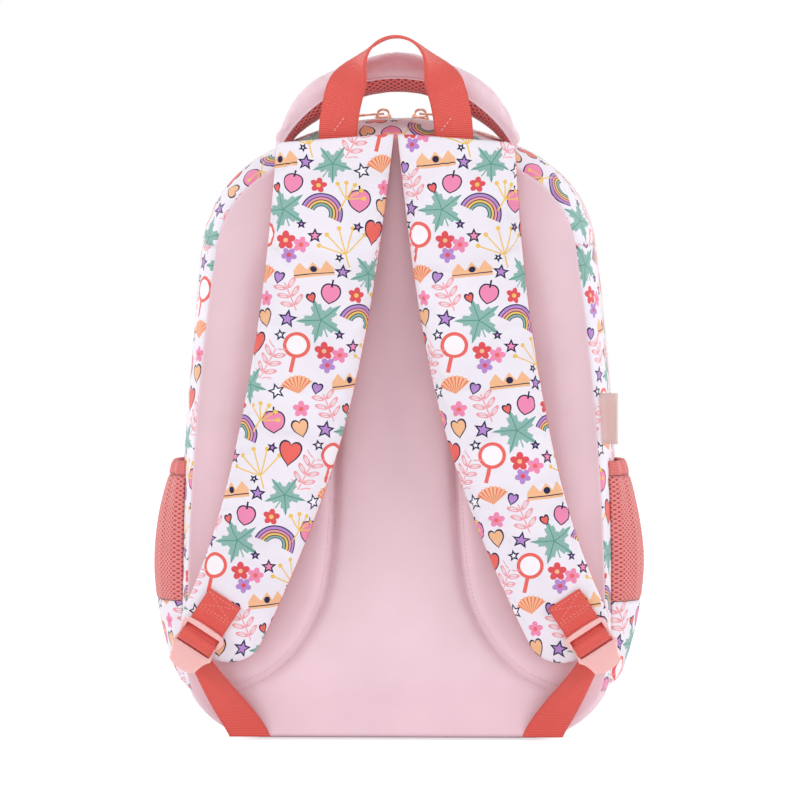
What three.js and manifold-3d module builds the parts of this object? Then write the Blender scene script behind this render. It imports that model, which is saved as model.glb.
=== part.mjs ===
// School backpack: bag shell, hinged front section, front pocket, two shoulder straps,
// a webbing grab loop, a padded haul handle and the zips with their sliders and pulls.
// Millimetres, +Z up. The back panel and straps face -Y, the front pocket faces +Y,
// and left and right are as seen from the strap side.
import * as THREE from "three";
import { mergeVertices } from "three/addons/utils/BufferGeometryUtils.js";
import Module from "manifold-3d";

const wasm = await Module();
wasm.setup();

// Bag body, as an outline seen from behind and a depth from back seam to front seam.
const bag = {
  width: 292,
  height: 418,
  depth: 131,
  foot: 0,
  waistHeight: 103,
  cornerRadius: 55,
  shoulderRadius: 80,
};
const wall = 3; // printed fabric, thin foam and lining together
const gap = 0.3; // between pieces that are sewn face to face
// How far the back and front seams are drawn in from the widest outline, at foot and top.
const backEdge = { lowInset: 3, topInset: 13, roundDepth: 34 };
const frontEdge = { lowInset: 5, topInset: 12, roundDepth: 31 };
const baseHeight = 32;
const zipEndHeight = 97.5;
const seamShare = 0.8; // height of the seams between the side panels and the top gusset
const coverThickness = 1.4;
const backPadThickness = 7;

// Main zip, round the sides and top of the bag.
const zipPlane = 97.7; // depth of the line where the two rows of teeth meet
const zip = { halfGap: 0.7, tapeWidth: 12, tapeThickness: 1.2, coilWidth: 2.6, coilRise: 0.3 };
const slider = { length: 12, width: 9, thickness: 3, lift: 1.1, postThickness: 0.8, postDepth: 3 };
const bridge = { span: 9.6, bar: 1.2, width: 2.4, height: 4.5 };
const pull = { length: 30, width: 8, eyeWidth: 7, thickness: 1.4, lift: 0.5, hole: 3.4, endBar: 1.4 };
const sliderSpread = 12.5; // each main slider from the middle, along the zip

// Front pocket.
const pocket = {
  width: 216,
  height: 190,
  foot: 112,
  waistHeight: 40,
  cornerRadius: 28,
  shoulderRadius: 55,
};
const pocketRimDepth = 12;
const pocketFrontDepth = 17;
const pocketWall = 2;
const pocketSliderAngle = 20; // degrees from the middle of the pocket's crown
const pipingRadius = 1.8;

// Side mesh pockets.
const sidePocket = { back: 14, front: 91, bottom: 33, meshBottom: 93, meshTop: 178, top: 188 };
const sidePocketBulge = { most: 18.5, low: 30, high: 208 };
const sidePocketWall = 2;
const sidePocketStandOff = 0.6;

// Shoulder straps: the centre line of the right one as a Bezier curve.
const strapTopHeight = bag.height - 18; // just below the seam of the crown
const strapEnd = { fromSide: 30, height: 78 };
const strapDrop = strapTopHeight - strapEnd.height;
const strapCurve = new THREE.CubicBezierCurve3(
  new THREE.Vector3(41, -8, strapTopHeight),
  new THREE.Vector3(50, -27, strapTopHeight - 0.31 * strapDrop),
  new THREE.Vector3(62, -40, strapTopHeight - 0.652 * strapDrop),
  new THREE.Vector3(bag.width / 2 - strapEnd.fromSide, -18, strapEnd.height),
);
const strap = { topWidth: 78, middleWidth: 71, endWidth: 57, tip: 24, thickness: 12, topThickness: 5 };
const strapTopSlant = { fall: 0.12, reach: 0.5 }; // the top end falls towards the bag's side
const strapSkin = 1.4;
const bindingWidth = 2.2;
const bindingClearance = 0.7;

// Webbing, tabs and ladder-lock buckles.
const webbing = { width: 25, thickness: 1.6 };
const tab = { alongStart: -19.6, acrossStart: 6, turn: 7.5, length: 24, seat: 0.3 };
const lock = {
  sideRoom: 0.4, // between the webbing and each rail
  length: 34,
  thickness: 3.6,
  bar: 3.6,
  rail: 2.6,
  slot: 5.6,
  midBar: 4,
  slotTwo: 4.6,
  slotTwoInset: 0.5,
};
const lockWidth = webbing.width + 2 * (lock.rail + lock.sideRoom);
const lockClearance = 1.3; // between the tab's loop and the buckle's bar
const lowerWebbingFoot = new THREE.Vector3(bag.width / 2 - 49, -4, 10);
const lowerWebbingHead = new THREE.Vector3(bag.width / 2 - 24, -12.5, 44);

// Handles on top.
const grabLoop = {
  width: 26,
  thickness: 1.8,
  spread: 39,
  foot: bag.height - 14,
  top: bag.height + 56.5,
  back: -3.2,
};
const haul = { radius: 90, centreHeight: bag.height - 60.5, back: 24, halfAngle: 54 };
const haulSection = { middleHalfDepth: 17, endHalfDepth: 6, middleRise: 13, endRise: 5 };

const label = { width: 16, height: 34, thickness: 0.8, bottom: 200, turn: 38 };
const baseBoard = { width: 172, back: 14, front: 119, lift: 6, thickness: 2.5 };

const sideLean = THREE.MathUtils.degToRad(7);
const crownHalfAngle = THREE.MathUtils.degToRad(30);
const edgeCurvePower = 2.2;

const finish = (colour, roughness = 0.85, metalness = 0) =>
  new THREE.MeshStandardMaterial({ color: colour, roughness, metalness });
const printed = finish("#e9e1ea");
const pinkFabric = finish("#f0d2dc");
const coralWebbing = finish("#f0645c", 0.75);
const coralMesh = finish("#f27a7a", 0.9);
const foam = finish("#f4f2ec", 0.95);
const lining = finish("#d9d2d8");
const zipTape = finish("#e8bcc4");
const roseMetal = finish("#e2b09a", 0.3, 1);
const pinkPlastic = finish("#f2b6b2", 0.35);
const board = finish("#e8e4e0", 0.6);
const labelFabric = finish("#f7cfc6");

// Turns a list of corner points, three to a triangle, into a closed geometry that faces out.
function geometryFrom(corners) {
  let volume = 0;
  for (let i = 0; i < corners.length; i += 3) {
    volume += corners[i].dot(corners[i + 1].clone().cross(corners[i + 2]));
  }
  const flat = [];
  for (let i = 0; i < corners.length; i += 3) {
    const [a, b, c] = corners.slice(i, i + 3);
    const facing = volume > 0 ? [a, b, c] : [a, c, b];
    facing.forEach((corner) => flat.push(corner.x, corner.y, corner.z));
  }
  const geometry = new THREE.BufferGeometry();
  geometry.setAttribute("position", new THREE.Float32BufferAttribute(flat, 3));
  geometry.computeVertexNormals();
  return geometry;
}

function signedArea(points) {
  return points.reduce((sum, [p, q], i) => {
    const [nextP, nextQ] = points[(i + 1) % points.length];
    return sum + (p * nextQ - nextP * q) / 2;
  }, 0);
}

// Triangles of a flat section, wound as the section is.
function capFaces(section) {
  const contour = section.map(([p, q]) => new THREE.Vector2(p, q));
  const sense = Math.sign(signedArea(section));
  return THREE.ShapeUtils.triangulateShape(contour, []).map((face) => {
    const same = Math.sign(signedArea(face.map((i) => section[i]))) === sense;
    return same ? face : [face[0], face[2], face[1]];
  });
}

// Sweeps a section along stations. A station is an origin with the directions of p and q,
// and a section is a list of [p, q], or a function that gives one for each station.
function sweep(stations, section) {
  const sections = stations.map((station, i) =>
    typeof section === "function" ? section(station, i) : section,
  );
  const rings = stations.map((station, i) =>
    sections[i].map(([p, q]) =>
      station.origin.clone().addScaledVector(station.p, p).addScaledVector(station.q, q),
    ),
  );
  const corners = [];
  for (let i = 0; i < rings.length - 1; i += 1) {
    const near = rings[i];
    const far = rings[i + 1];
    near.forEach((_, j) => {
      const k = (j + 1) % near.length;
      corners.push(near[j], far[j], near[k], near[k], far[j], far[k]);
    });
  }
  const first = rings[0];
  const last = rings[rings.length - 1];
  capFaces(sections[0]).forEach(([a, b, c]) => corners.push(first[a], first[b], first[c]));
  capFaces(sections[sections.length - 1]).forEach(([a, b, c]) =>
    corners.push(last[a], last[c], last[b]),
  );
  return geometryFrom(corners);
}

// An outline of flat foot, corner arcs, upright sides, leaning side arcs, shoulder arcs and
// a crown arc, each running smoothly into the next. Angles are measured from +X.
function makeOutline({ width, height, foot, waistHeight, cornerRadius, shoulderRadius }) {
  const half = width / 2;
  const shoulderStart = sideLean;
  const crownStart = Math.PI / 2 - crownHalfAngle;
  const crownShare = Math.tan(crownHalfAngle / 2);
  const shoulderRise = shoulderRadius * (Math.sin(crownStart) - Math.sin(shoulderStart));
  const shoulderRun = shoulderRadius * (Math.cos(shoulderStart) - Math.cos(crownStart));
  const sideRun = 1 - Math.cos(shoulderStart);
  const left = height - waistHeight - shoulderRise - crownShare * (half - shoulderRun);
  const sideRadius = left / (Math.sin(shoulderStart) - sideRun * crownShare);
  const crownRadius = (half - sideRadius * sideRun - shoulderRun) / Math.cos(crownStart);
  const top = foot + height;
  const waist = foot + waistHeight;
  const shoulderX = half - sideRadius * sideRun - shoulderRadius * Math.cos(shoulderStart);
  const shoulderZ = waist + (sideRadius - shoulderRadius) * Math.sin(shoulderStart);
  const right = Math.PI / 2;
  const arc = (x, z, radius, from, to, steps) => ({ x, z, radius, from, to, steps });
  const arcs = [
    arc(half - cornerRadius, foot + cornerRadius, cornerRadius, -right, 0, 5),
    arc(half - sideRadius, waist, sideRadius, 0, shoulderStart, 3),
    arc(shoulderX, shoulderZ, shoulderRadius, shoulderStart, crownStart, 4),
    arc(0, top - crownRadius, crownRadius, crownStart, right, 4),
  ];
  const onArc = ({ x, z, radius }, angle) => ({
    x: x + radius * Math.cos(angle),
    z: z + radius * Math.sin(angle),
    nx: Math.cos(angle),
    nz: Math.sin(angle),
  });
  const highest = ({ z, radius, to }) => z + radius * Math.sin(to);
  const cornerTop = foot + cornerRadius;

  function at(z) {
    if (z > cornerTop && z < waist) return { x: half, z, nx: 1, nz: 0 };
    const on = arcs.find((candidate) => z <= highest(candidate) + 1e-6) ?? arcs[3];
    const sine = THREE.MathUtils.clamp((z - on.z) / on.radius, -1, 1);
    return onArc(on, Math.asin(sine));
  }

  // The right half between two heights, going up.
  function rightSide(low, high) {
    const marks = arcs.flatMap((piece) =>
      Array.from({ length: piece.steps + 1 }, (_, i) =>
        onArc(piece, piece.from + ((piece.to - piece.from) * i) / piece.steps),
      ),
    );
    const nearest = 2;
    const inside = marks.filter((m) => m.z > low + nearest && m.z < high - nearest / 4);
    const apart = (m, n) => Math.hypot(m.x - n.x, m.z - n.z) > 1e-3;
    const distinct = inside.filter((m, i) => i === 0 || apart(m, inside[i - 1]));
    return [at(low), ...distinct, at(high)];
  }

  const mirrored = (stations) => stations.map((s) => ({ ...s, x: -s.x, nx: -s.nx })).reverse();
  // Over the top from one side to the other, from a height on the right to the same on the left.
  const arch = (low) => {
    const up = rightSide(low, top);
    return [...up, ...mirrored(up).slice(1)];
  };
  // Round the foot, from a height on the left to the same height on the right.
  const tray = (high) => {
    const up = rightSide(foot, high);
    return [...mirrored(up), ...up];
  };
  return { at, rightSide, arch, tray, mirrored, foot, top, crownRadius, crownZ: top - crownRadius };
}

const bagOutline = makeOutline(bag);
const pocketOutline = makeOutline(pocket);

// Outline stations as sweep stations: p runs into the depth and q runs inwards.
const toSweep = (stations) =>
  stations.map((s) => ({
    origin: new THREE.Vector3(s.x, 0, s.z),
    p: new THREE.Vector3(0, 1, 0),
    q: new THREE.Vector3(-s.nx, 0, -s.nz),
  }));

const edgeInset = (edge, z) =>
  THREE.MathUtils.lerp(edge.lowInset, edge.topInset, THREE.MathUtils.clamp(z / bag.height, 0, 1));
const backInset = (z) => edgeInset(backEdge, z);
const frontInset = (z) => edgeInset(frontEdge, z);

// How far the bag's outer surface is drawn in at a depth and height, near its two edges.
function insetAt(depth, z) {
  const fromBack = 1 - Math.min(1, Math.max(0, depth) / backEdge.roundDepth);
  const fromFront = 1 - Math.min(1, Math.max(0, bag.depth - depth) / frontEdge.roundDepth);
  return backInset(z) * fromBack ** edgeCurvePower + frontInset(z) * fromFront ** edgeCurvePower;
}

const depthMarks = [
  0.28 * backEdge.roundDepth,
  0.62 * backEdge.roundDepth,
  backEdge.roundDepth,
  bag.depth - frontEdge.roundDepth,
  bag.depth - 0.62 * frontEdge.roundDepth,
  bag.depth - 0.28 * frontEdge.roundDepth,
];

// The section of a band of the bag's side wall between two depths.
function bandSection(from, to, sink = 0, thickness = wall) {
  const depths = [from, ...depthMarks.filter((d) => d > from + 1 && d < to - 1), to];
  return (station) => {
    const drawnIn = depths.map((d) => insetAt(d, station.origin.z) + sink);
    const outer = depths.map((d, i) => [d, drawnIn[i]]);
    const inner = depths.map((d, i) => [d, drawnIn[i] + thickness]).reverse();
    return [...outer, ...inner];
  };
}

const rectangle = (p0, p1, q0, q1) => [[p0, q0], [p1, q0], [p1, q1], [p0, q1]];

// A flat plate that fills an outline, drawn in by an inset for each height, between two
// depths and heights.
function plate(outline, inset, from, to, low = outline.foot, high = outline.top) {
  const up = outline.rightSide(low, high);
  const loop = [...up, ...outline.mirrored(up)];
  const points = loop.map((s) => [s.x - s.nx * inset(s.z), s.z - s.nz * inset(s.z)]);
  const distinct = points.filter(([x, z], i) => {
    const [lastX, lastZ] = points[(i + points.length - 1) % points.length];
    return Math.hypot(x - lastX, z - lastZ) > 1e-3;
  });
  const shape = new THREE.Shape(distinct.map(([x, z]) => new THREE.Vector2(x, z)));
  const geometry = new THREE.ExtrudeGeometry(shape, { depth: to - from, bevelEnabled: false });
  return geometry.rotateX(Math.PI / 2).translate(0, to, 0);
}

function solidOf(geometry) {
  const bare = new THREE.BufferGeometry();
  const plain = geometry.index ? geometry.toNonIndexed() : geometry;
  bare.setAttribute("position", plain.getAttribute("position"));
  const merged = mergeVertices(bare, 1e-3);
  const mesh = new wasm.Mesh({
    numProp: 3,
    vertProperties: merged.attributes.position.array,
    triVerts: new Uint32Array(merged.index.array),
  });
  return new wasm.Manifold(mesh);
}

// Joins geometries that run into each other.
function join(...geometries) {
  const solid = geometries.map(solidOf).reduce((sum, next) => sum.add(next));
  const { vertProperties, triVerts } = solid.getMesh();
  const geometry = new THREE.BufferGeometry();
  geometry.setAttribute("position", new THREE.Float32BufferAttribute(vertProperties, 3));
  geometry.setIndex(new THREE.BufferAttribute(triVerts, 1));
  geometry.computeVertexNormals();
  return geometry;
}

const backpack = new THREE.Group();
const model = new THREE.Group();
backpack.add(model);

function add(name, geometry, material) {
  const mesh = new THREE.Mesh(geometry, material);
  mesh.name = name;
  model.add(mesh);
  return mesh;
}

// A piece on the right and its mirror image on the left.
function addPair(name, geometry, material) {
  add(`${name}_right`, geometry, material);
  add(`${name}_left`, geometry, material).scale.x = -1;
}

// Back panel: outer cover, foam pad and lining, in front of each other.
function addBackPanel() {
  const padInset = (z) => backInset(z) + wall + 1;
  const padBack = gap;
  const padFront = padBack + backPadThickness;
  add("back_panel_cover", plate(bagOutline, backInset, -coverThickness - gap, -gap), pinkFabric);
  add("back_panel_foam", plate(bagOutline, padInset, padBack, padFront), foam);
  add("back_panel_lining", plate(bagOutline, padInset, padFront + gap, padFront + gap + 1), lining);
}

const rearTape = { back: zipPlane - zip.halfGap - zip.tapeWidth, front: zipPlane - zip.halfGap };
const frontTape = { back: zipPlane + zip.halfGap, front: zipPlane + zip.halfGap + zip.tapeWidth };

// Side panels and top gusset behind the zip, and the side panels' full-depth foot below it.
function addRearWalls() {
  const seam = bagOutline.at(bag.height * seamShare).z;
  const rear = bandSection(0, rearTape.back - gap);
  const above = toSweep(bagOutline.rightSide(zipEndHeight - 1, seam));
  const below = toSweep(bagOutline.rightSide(baseHeight + gap, zipEndHeight - gap));
  const upper = sweep(above, rear);
  const lower = sweep(below, bandSection(0, bag.depth));
  addPair("side_panel", join(upper, lower), printed);
  add("top_gusset", sweep(toSweep(bagOutline.arch(seam + gap)), rear), printed);
}

function addBase() {
  const tray = toSweep(bagOutline.tray(baseHeight));
  add("base_panel", sweep(tray, bandSection(0, bag.depth)), pinkFabric);
  const front = [bag.depth + gap, bag.depth + gap + wall];
  add("base_front_band", plate(bagOutline, frontInset, ...front, bag.foot, baseHeight), pinkFabric);
  add(
    "lower_front_panel",
    plate(bagOutline, frontInset, ...front, baseHeight + gap, zipEndHeight - gap),
    printed,
  );
  const { width, back, front: boardFront, lift, thickness } = baseBoard;
  const outline = rectangle(-width / 2, width / 2, lift, lift + thickness);
  const ends = [back, boardFront].map((y) => ({
    origin: new THREE.Vector3(0, y, 0),
    p: new THREE.Vector3(1, 0, 0),
    q: new THREE.Vector3(0, 0, 1),
  }));
  add("base_board", sweep(ends, outline), board);
}

// One half of a zip: the tape with its row of teeth along the edge that meets the other half.
function tapeSection({ back, front }, teethAtFront, sink) {
  const { coilWidth, coilRise, tapeThickness } = zip;
  const edge = teethAtFront ? front : back;
  const inner = teethAtFront ? front - coilWidth : back + coilWidth;
  const far = teethAtFront ? back : front;
  return [
    [far, sink],
    [inner, sink],
    [inner, -coilRise],
    [edge, -coilRise],
    [edge, sink + tapeThickness + 1],
    [inner, sink + tapeThickness + 1],
    [inner, sink + tapeThickness],
    [far, sink + tapeThickness],
  ];
}

function addMainZip() {
  const sink = 0.8;
  const path = toSweep(bagOutline.arch(zipEndHeight + gap));
  add("main_zip_tape_rear", sweep(path, tapeSection(rearTape, true, sink)), zipTape);
  add("main_zip_tape_front", sweep(path, tapeSection(frontTape, false, sink)), zipTape);
}

function addFrontSection() {
  const path = toSweep(bagOutline.arch(zipEndHeight + gap));
  add("front_gusset", sweep(path, bandSection(frontTape.front + gap, bag.depth)), printed);
  const face = bag.depth + gap;
  add(
    "front_panel",
    plate(bagOutline, frontInset, face, face + wall, zipEndHeight + gap),
    printed,
  );
  const pipe = (station) =>
    Array.from({ length: 6 }, (_, i) => {
      const angle = (Math.PI * (i + 0.5)) / 3;
      return [
        bag.depth + gap + wall / 2 + pipingRadius * Math.cos(angle),
        frontInset(station.origin.z) - gap - pipingRadius + pipingRadius * Math.sin(angle),
      ];
    });
  add("front_piping", sweep(path, pipe), coralWebbing);
}

const panelFace = bag.depth + gap + wall;
const pocketZipPlane = panelFace + gap + pocketRimDepth + zip.halfGap;

// Front pocket: a fixed rim on the front panel and a front that opens about its foot.
function addFrontPocket() {
  const rimBack = panelFace + gap;
  const tapeWidth = zip.tapeWidth / 2;
  const rimTape = {
    back: pocketZipPlane - zip.halfGap - tapeWidth,
    front: pocketZipPlane - zip.halfGap,
  };
  const frontTapeDepth = {
    back: pocketZipPlane + zip.halfGap,
    front: pocketZipPlane + zip.halfGap + tapeWidth,
  };
  const zipEnd = pocket.foot + pocket.waistHeight;
  const arch = toSweep(pocketOutline.arch(zipEnd));
  const tray = toSweep(pocketOutline.tray(zipEnd - gap));
  const rim = (back, front) => rectangle(back, front, 0, pocketWall);
  const upperRim = sweep(arch, rim(rimBack, rimTape.back - gap));
  const lowerRim = sweep(tray, rim(rimBack, rimTape.front));
  const bridging = toSweep(pocketOutline.tray(zipEnd + 1));
  const joined = join(upperRim, lowerRim, sweep(bridging, rim(rimBack, rimTape.back - gap)));
  add("pocket_rim", joined, printed);
  add("pocket_zip_tape_rear", sweep(arch, tapeSection(rimTape, true, 0.5)), zipTape);
  const faceBack = frontTapeDepth.back + pocketFrontDepth;
  const upperFront = sweep(arch, rim(frontTapeDepth.front + gap, faceBack));
  const lowerFront = sweep(tray, rim(frontTapeDepth.back, faceBack));
  const frontBridging = sweep(bridging, rim(frontTapeDepth.front + gap, faceBack));
  add("pocket_gusset", join(upperFront, lowerFront, frontBridging), printed);
  add("pocket_zip_tape_front", sweep(arch, tapeSection(frontTapeDepth, false, 0.5)), zipTape);
  const faceFront = faceBack + gap + pocketWall;
  add("pocket_face", plate(pocketOutline, () => 0, faceBack + gap, faceFront), printed);
}

// Side pockets: a wall that stands out from the side panel, in three heights of fabric.
function addSidePockets() {
  const columns = 7;
  const bulgeAt = (z) => {
    const { most, low, high } = sidePocketBulge;
    return most * Math.sin((Math.PI * (z - low)) / (high - low));
  };
  const section = (station) => {
    const most = bulgeAt(station.origin.z);
    const shares = Array.from({ length: columns }, (_, i) => (2 * i) / (columns - 1) - 1);
    const middle = (sidePocket.back + sidePocket.front) / 2;
    const half = (sidePocket.front - sidePocket.back) / 2;
    const inner = shares.map((u) => [middle + half * u, sidePocketStandOff + most * (1 - u * u)]);
    const outer = inner.map(([y, out]) => [y, out + sidePocketWall]).reverse();
    return [...inner, ...outer];
  };
  const stationAt = (z) => ({
    origin: new THREE.Vector3(bagOutline.at(z).x, 0, z),
    p: new THREE.Vector3(0, 1, 0),
    q: new THREE.Vector3(1, 0, 0),
  });
  const piece = (low, high, steps) => {
    const heights = Array.from({ length: steps + 1 }, (_, i) => low + ((high - low) * i) / steps);
    return sweep(heights.map(stationAt), section);
  };
  const { bottom, meshBottom, meshTop, top } = sidePocket;
  addPair("side_pocket_base", piece(bottom, meshBottom - gap, 4), printed);
  addPair("side_pocket_mesh", piece(meshBottom, meshTop - gap, 4), coralMesh);
  addPair("side_pocket_binding", piece(meshTop, top, 1), coralWebbing);
}

const outward = new THREE.Vector3(0, -1, 0);

// The strap's own frame at a share of its length: along it, across it and out of its face.
function strapFrame(t) {
  const along = strapCurve.getTangent(t).normalize();
  const across = outward.clone().cross(along).normalize();
  const out = along.clone().cross(across).normalize();
  return { origin: strapCurve.getPoint(t), along, across, out };
}

function strapWidth(t) {
  const early = THREE.MathUtils.lerp(strap.topWidth, strap.middleWidth, Math.min(1, t / 0.5));
  const late = THREE.MathUtils.smoothstep(t, 0.45, 1);
  return THREE.MathUtils.lerp(early, strap.endWidth, late);
}

const strapDepth = (t) =>
  THREE.MathUtils.lerp(strap.topThickness, strap.thickness, THREE.MathUtils.smoothstep(t, 0, 0.12));

// Stations down the strap to its round tip, each with its half width and thickness.
function strapStations(drawnIn) {
  const steps = 11;
  const down = Array.from({ length: steps + 1 }, (_, i) => {
    const t = i / steps;
    const frame = strapFrame(t);
    const slant = strapTopSlant.fall * Math.max(0, 1 - t / strapTopSlant.reach);
    frame.across.addScaledVector(frame.along, slant);
    return { ...frame, half: strapWidth(t) / 2 - drawnIn, depth: strapDepth(t) };
  });
  const end = strapFrame(1);
  const reach = strap.tip - drawnIn;
  const tip = [0.4, 0.68, 0.86, 0.96].map((share) => ({
    ...end,
    origin: end.origin.clone().addScaledVector(end.along, reach * share),
    half: (strap.endWidth / 2 - drawnIn) * Math.sqrt(1 - share * share),
    depth: strap.thickness,
  }));
  return [...down, ...tip];
}

// One layer of the strap, between two distances from its middle surface.
function strapLayer(low, high) {
  const stations = strapStations(bindingWidth + bindingClearance).map((s) => ({
    ...s,
    p: s.across,
    q: s.out,
  }));
  return sweep(stations, (s) => rectangle(-s.half, s.half, low(s.depth), high(s.depth)));
}

// Binding tape round the strap's edge, from the top seam round the tip and back.
function strapBinding() {
  const stations = strapStations(0);
  const edge = (sign) => (s) => ({
    point: s.origin.clone().addScaledVector(s.across, sign * s.half),
    out: s.out,
    depth: s.depth,
  });
  const loop = [...stations.map(edge(1)), ...stations.map(edge(-1)).reverse()];
  const path = loop.map((spot, i) => {
    const before = loop[Math.max(0, i - 1)].point;
    const after = loop[Math.min(loop.length - 1, i + 1)].point;
    const run = after.clone().sub(before).normalize();
    const inwards = spot.out.clone().cross(run).normalize();
    return { origin: spot.point, p: inwards, q: spot.out, depth: spot.depth };
  });
  const turned = path[0].p.dot(stations[0].across) < 0 ? 1 : -1;
  return sweep(path, (s) =>
    rectangle(0, turned * bindingWidth, -s.depth / 2, s.depth / 2),
  );
}

// The frame of the tab and buckle at the strap's end: u runs down the tab, v across it.
function tabFrame() {
  const end = strapFrame(1);
  const turn = THREE.MathUtils.degToRad(tab.turn);
  const u = end.along.clone().multiplyScalar(Math.cos(turn));
  u.addScaledVector(end.across, Math.sin(turn));
  const v = end.out.clone().cross(u).normalize().negate();
  const origin = end.origin
    .clone()
    .addScaledVector(end.along, tab.alongStart)
    .addScaledVector(end.across, tab.acrossStart)
    .addScaledVector(end.out, strap.thickness / 2);
  return { origin, u, v, out: end.out };
}

const loopInner = lock.bar / 2 + lockClearance;
const barHeight = tab.seat + webbing.thickness + loopInner;

// Webbing tab: flat on the strap, round the buckle's top bar and back on itself.
function strapTab() {
  const { thickness, width } = webbing;
  const shape = new THREE.Shape();
  shape.moveTo(0, tab.seat);
  shape.lineTo(tab.length, tab.seat);
  shape.absarc(tab.length, barHeight, loopInner + thickness, -Math.PI / 2, Math.PI / 2, false);
  shape.lineTo(tab.length * 0.42, tab.seat + thickness * 1.7);
  shape.lineTo(0, tab.seat + thickness * 1.7);
  const eye = new THREE.Path();
  eye.moveTo(tab.length * 0.62, tab.seat + thickness * 1.15);
  eye.lineTo(tab.length, tab.seat + thickness);
  eye.absarc(tab.length, barHeight, loopInner, -Math.PI / 2, Math.PI / 2, false);
  shape.holes.push(eye);
  const geometry = new THREE.ExtrudeGeometry(shape, {
    depth: width,
    bevelEnabled: false,
    curveSegments: 6,
  });
  geometry.translate(0, 0, -width / 2);
  const { origin, u, out } = tabFrame();
  const side = u.clone().cross(out);
  return geometry.applyMatrix4(new THREE.Matrix4().makeBasis(u, out, side).setPosition(origin));
}

function slotPath(low, high, halfWidth) {
  const path = new THREE.Path();
  path.moveTo(low, -halfWidth);
  path.lineTo(low, halfWidth);
  path.lineTo(high, halfWidth);
  path.lineTo(high, -halfWidth);
  return path;
}

// Ladder-lock buckle: two rails, three bars and a grip below them.
function ladderLock() {
  const half = lockWidth / 2;
  const start = -lock.bar / 2;
  const end = start + lock.length;
  const round = 4;
  const shape = new THREE.Shape();
  shape.moveTo(start, -half + round);
  shape.quadraticCurveTo(start, -half, start + round, -half);
  shape.lineTo(end - 2 * round, -half);
  shape.quadraticCurveTo(end, -half, end, 0);
  shape.quadraticCurveTo(end, half, end - 2 * round, half);
  shape.lineTo(start + round, half);
  shape.quadraticCurveTo(start, half, start, half - round);
  const inner = half - lock.rail;
  const first = start + lock.bar;
  const second = first + lock.slot + lock.midBar;
  shape.holes.push(slotPath(first, first + lock.slot, inner));
  shape.holes.push(slotPath(second, second + lock.slotTwo, inner - lock.slotTwoInset));
  const geometry = new THREE.ExtrudeGeometry(shape, {
    depth: lock.thickness,
    bevelEnabled: false,
    curveSegments: 4,
  });
  geometry.translate(0, 0, -lock.thickness / 2);
  const { origin, u, out } = tabFrame();
  const side = out.clone().cross(u);
  const pivot = origin.clone().addScaledVector(u, tab.length).addScaledVector(out, barHeight);
  return geometry.applyMatrix4(new THREE.Matrix4().makeBasis(u, side, out).setPosition(pivot));
}

function addStraps() {
  addPair("strap_cover", strapLayer((d) => d / 2 - strapSkin, (d) => d / 2), printed);
  addPair(
    "strap_foam",
    strapLayer((d) => -d / 2 + strapSkin + gap / 2, (d) => d / 2 - strapSkin - gap / 2),
    foam,
  );
  addPair("strap_mesh", strapLayer((d) => -d / 2, (d) => -d / 2 + strapSkin - gap / 2), coralMesh);
  addPair("strap_binding", strapBinding(), coralWebbing);
  addPair("strap_tab", strapTab(), coralWebbing);
  addPair("ladder_lock", ladderLock(), pinkPlastic);
}

// Lower webbing, from the base seam up towards the buckle.
function addLowerWebbing() {
  const along = lowerWebbingHead.clone().sub(lowerWebbingFoot).normalize();
  const across = outward.clone().cross(along).normalize();
  const out = along.clone().cross(across).normalize();
  const ends = [lowerWebbingFoot, lowerWebbingHead];
  const stations = ends.map((origin) => ({ origin, p: across, q: out }));
  const half = webbing.width / 2;
  addPair("lower_webbing", sweep(stations, rectangle(-half, half, 0, webbing.thickness)), coralWebbing);
}

// Webbing grab loop: a half ellipse whose legs lie flat to the back and whose top lies level.
function addGrabLoop() {
  const { spread, foot, top, back, width, thickness } = grabLoop;
  const rise = top - foot;
  const steps = 24;
  const depthwise = new THREE.Vector3(0, 1, 0);
  const stations = Array.from({ length: steps + 1 }, (_, i) => {
    const angle = (Math.PI * i) / steps;
    const [cosine, sine] = [Math.cos(angle), Math.sin(angle)];
    const along = new THREE.Vector3(-spread * sine, 0, rise * cosine).normalize();
    const flat = depthwise.clone().cross(along).normalize();
    const turn = (Math.PI / 2) * THREE.MathUtils.smoothstep(sine, 0.5, 0.98);
    const p = flat.multiplyScalar(Math.cos(turn)).addScaledVector(depthwise, Math.sin(turn));
    const origin = new THREE.Vector3(spread * cosine, back, foot + rise * sine);
    return { origin, p, q: along.clone().cross(p).normalize() };
  });
  const section = rectangle(-width / 2, width / 2, -thickness / 2, thickness / 2);
  add("grab_loop", sweep(stations, section), coralWebbing);
}

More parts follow.
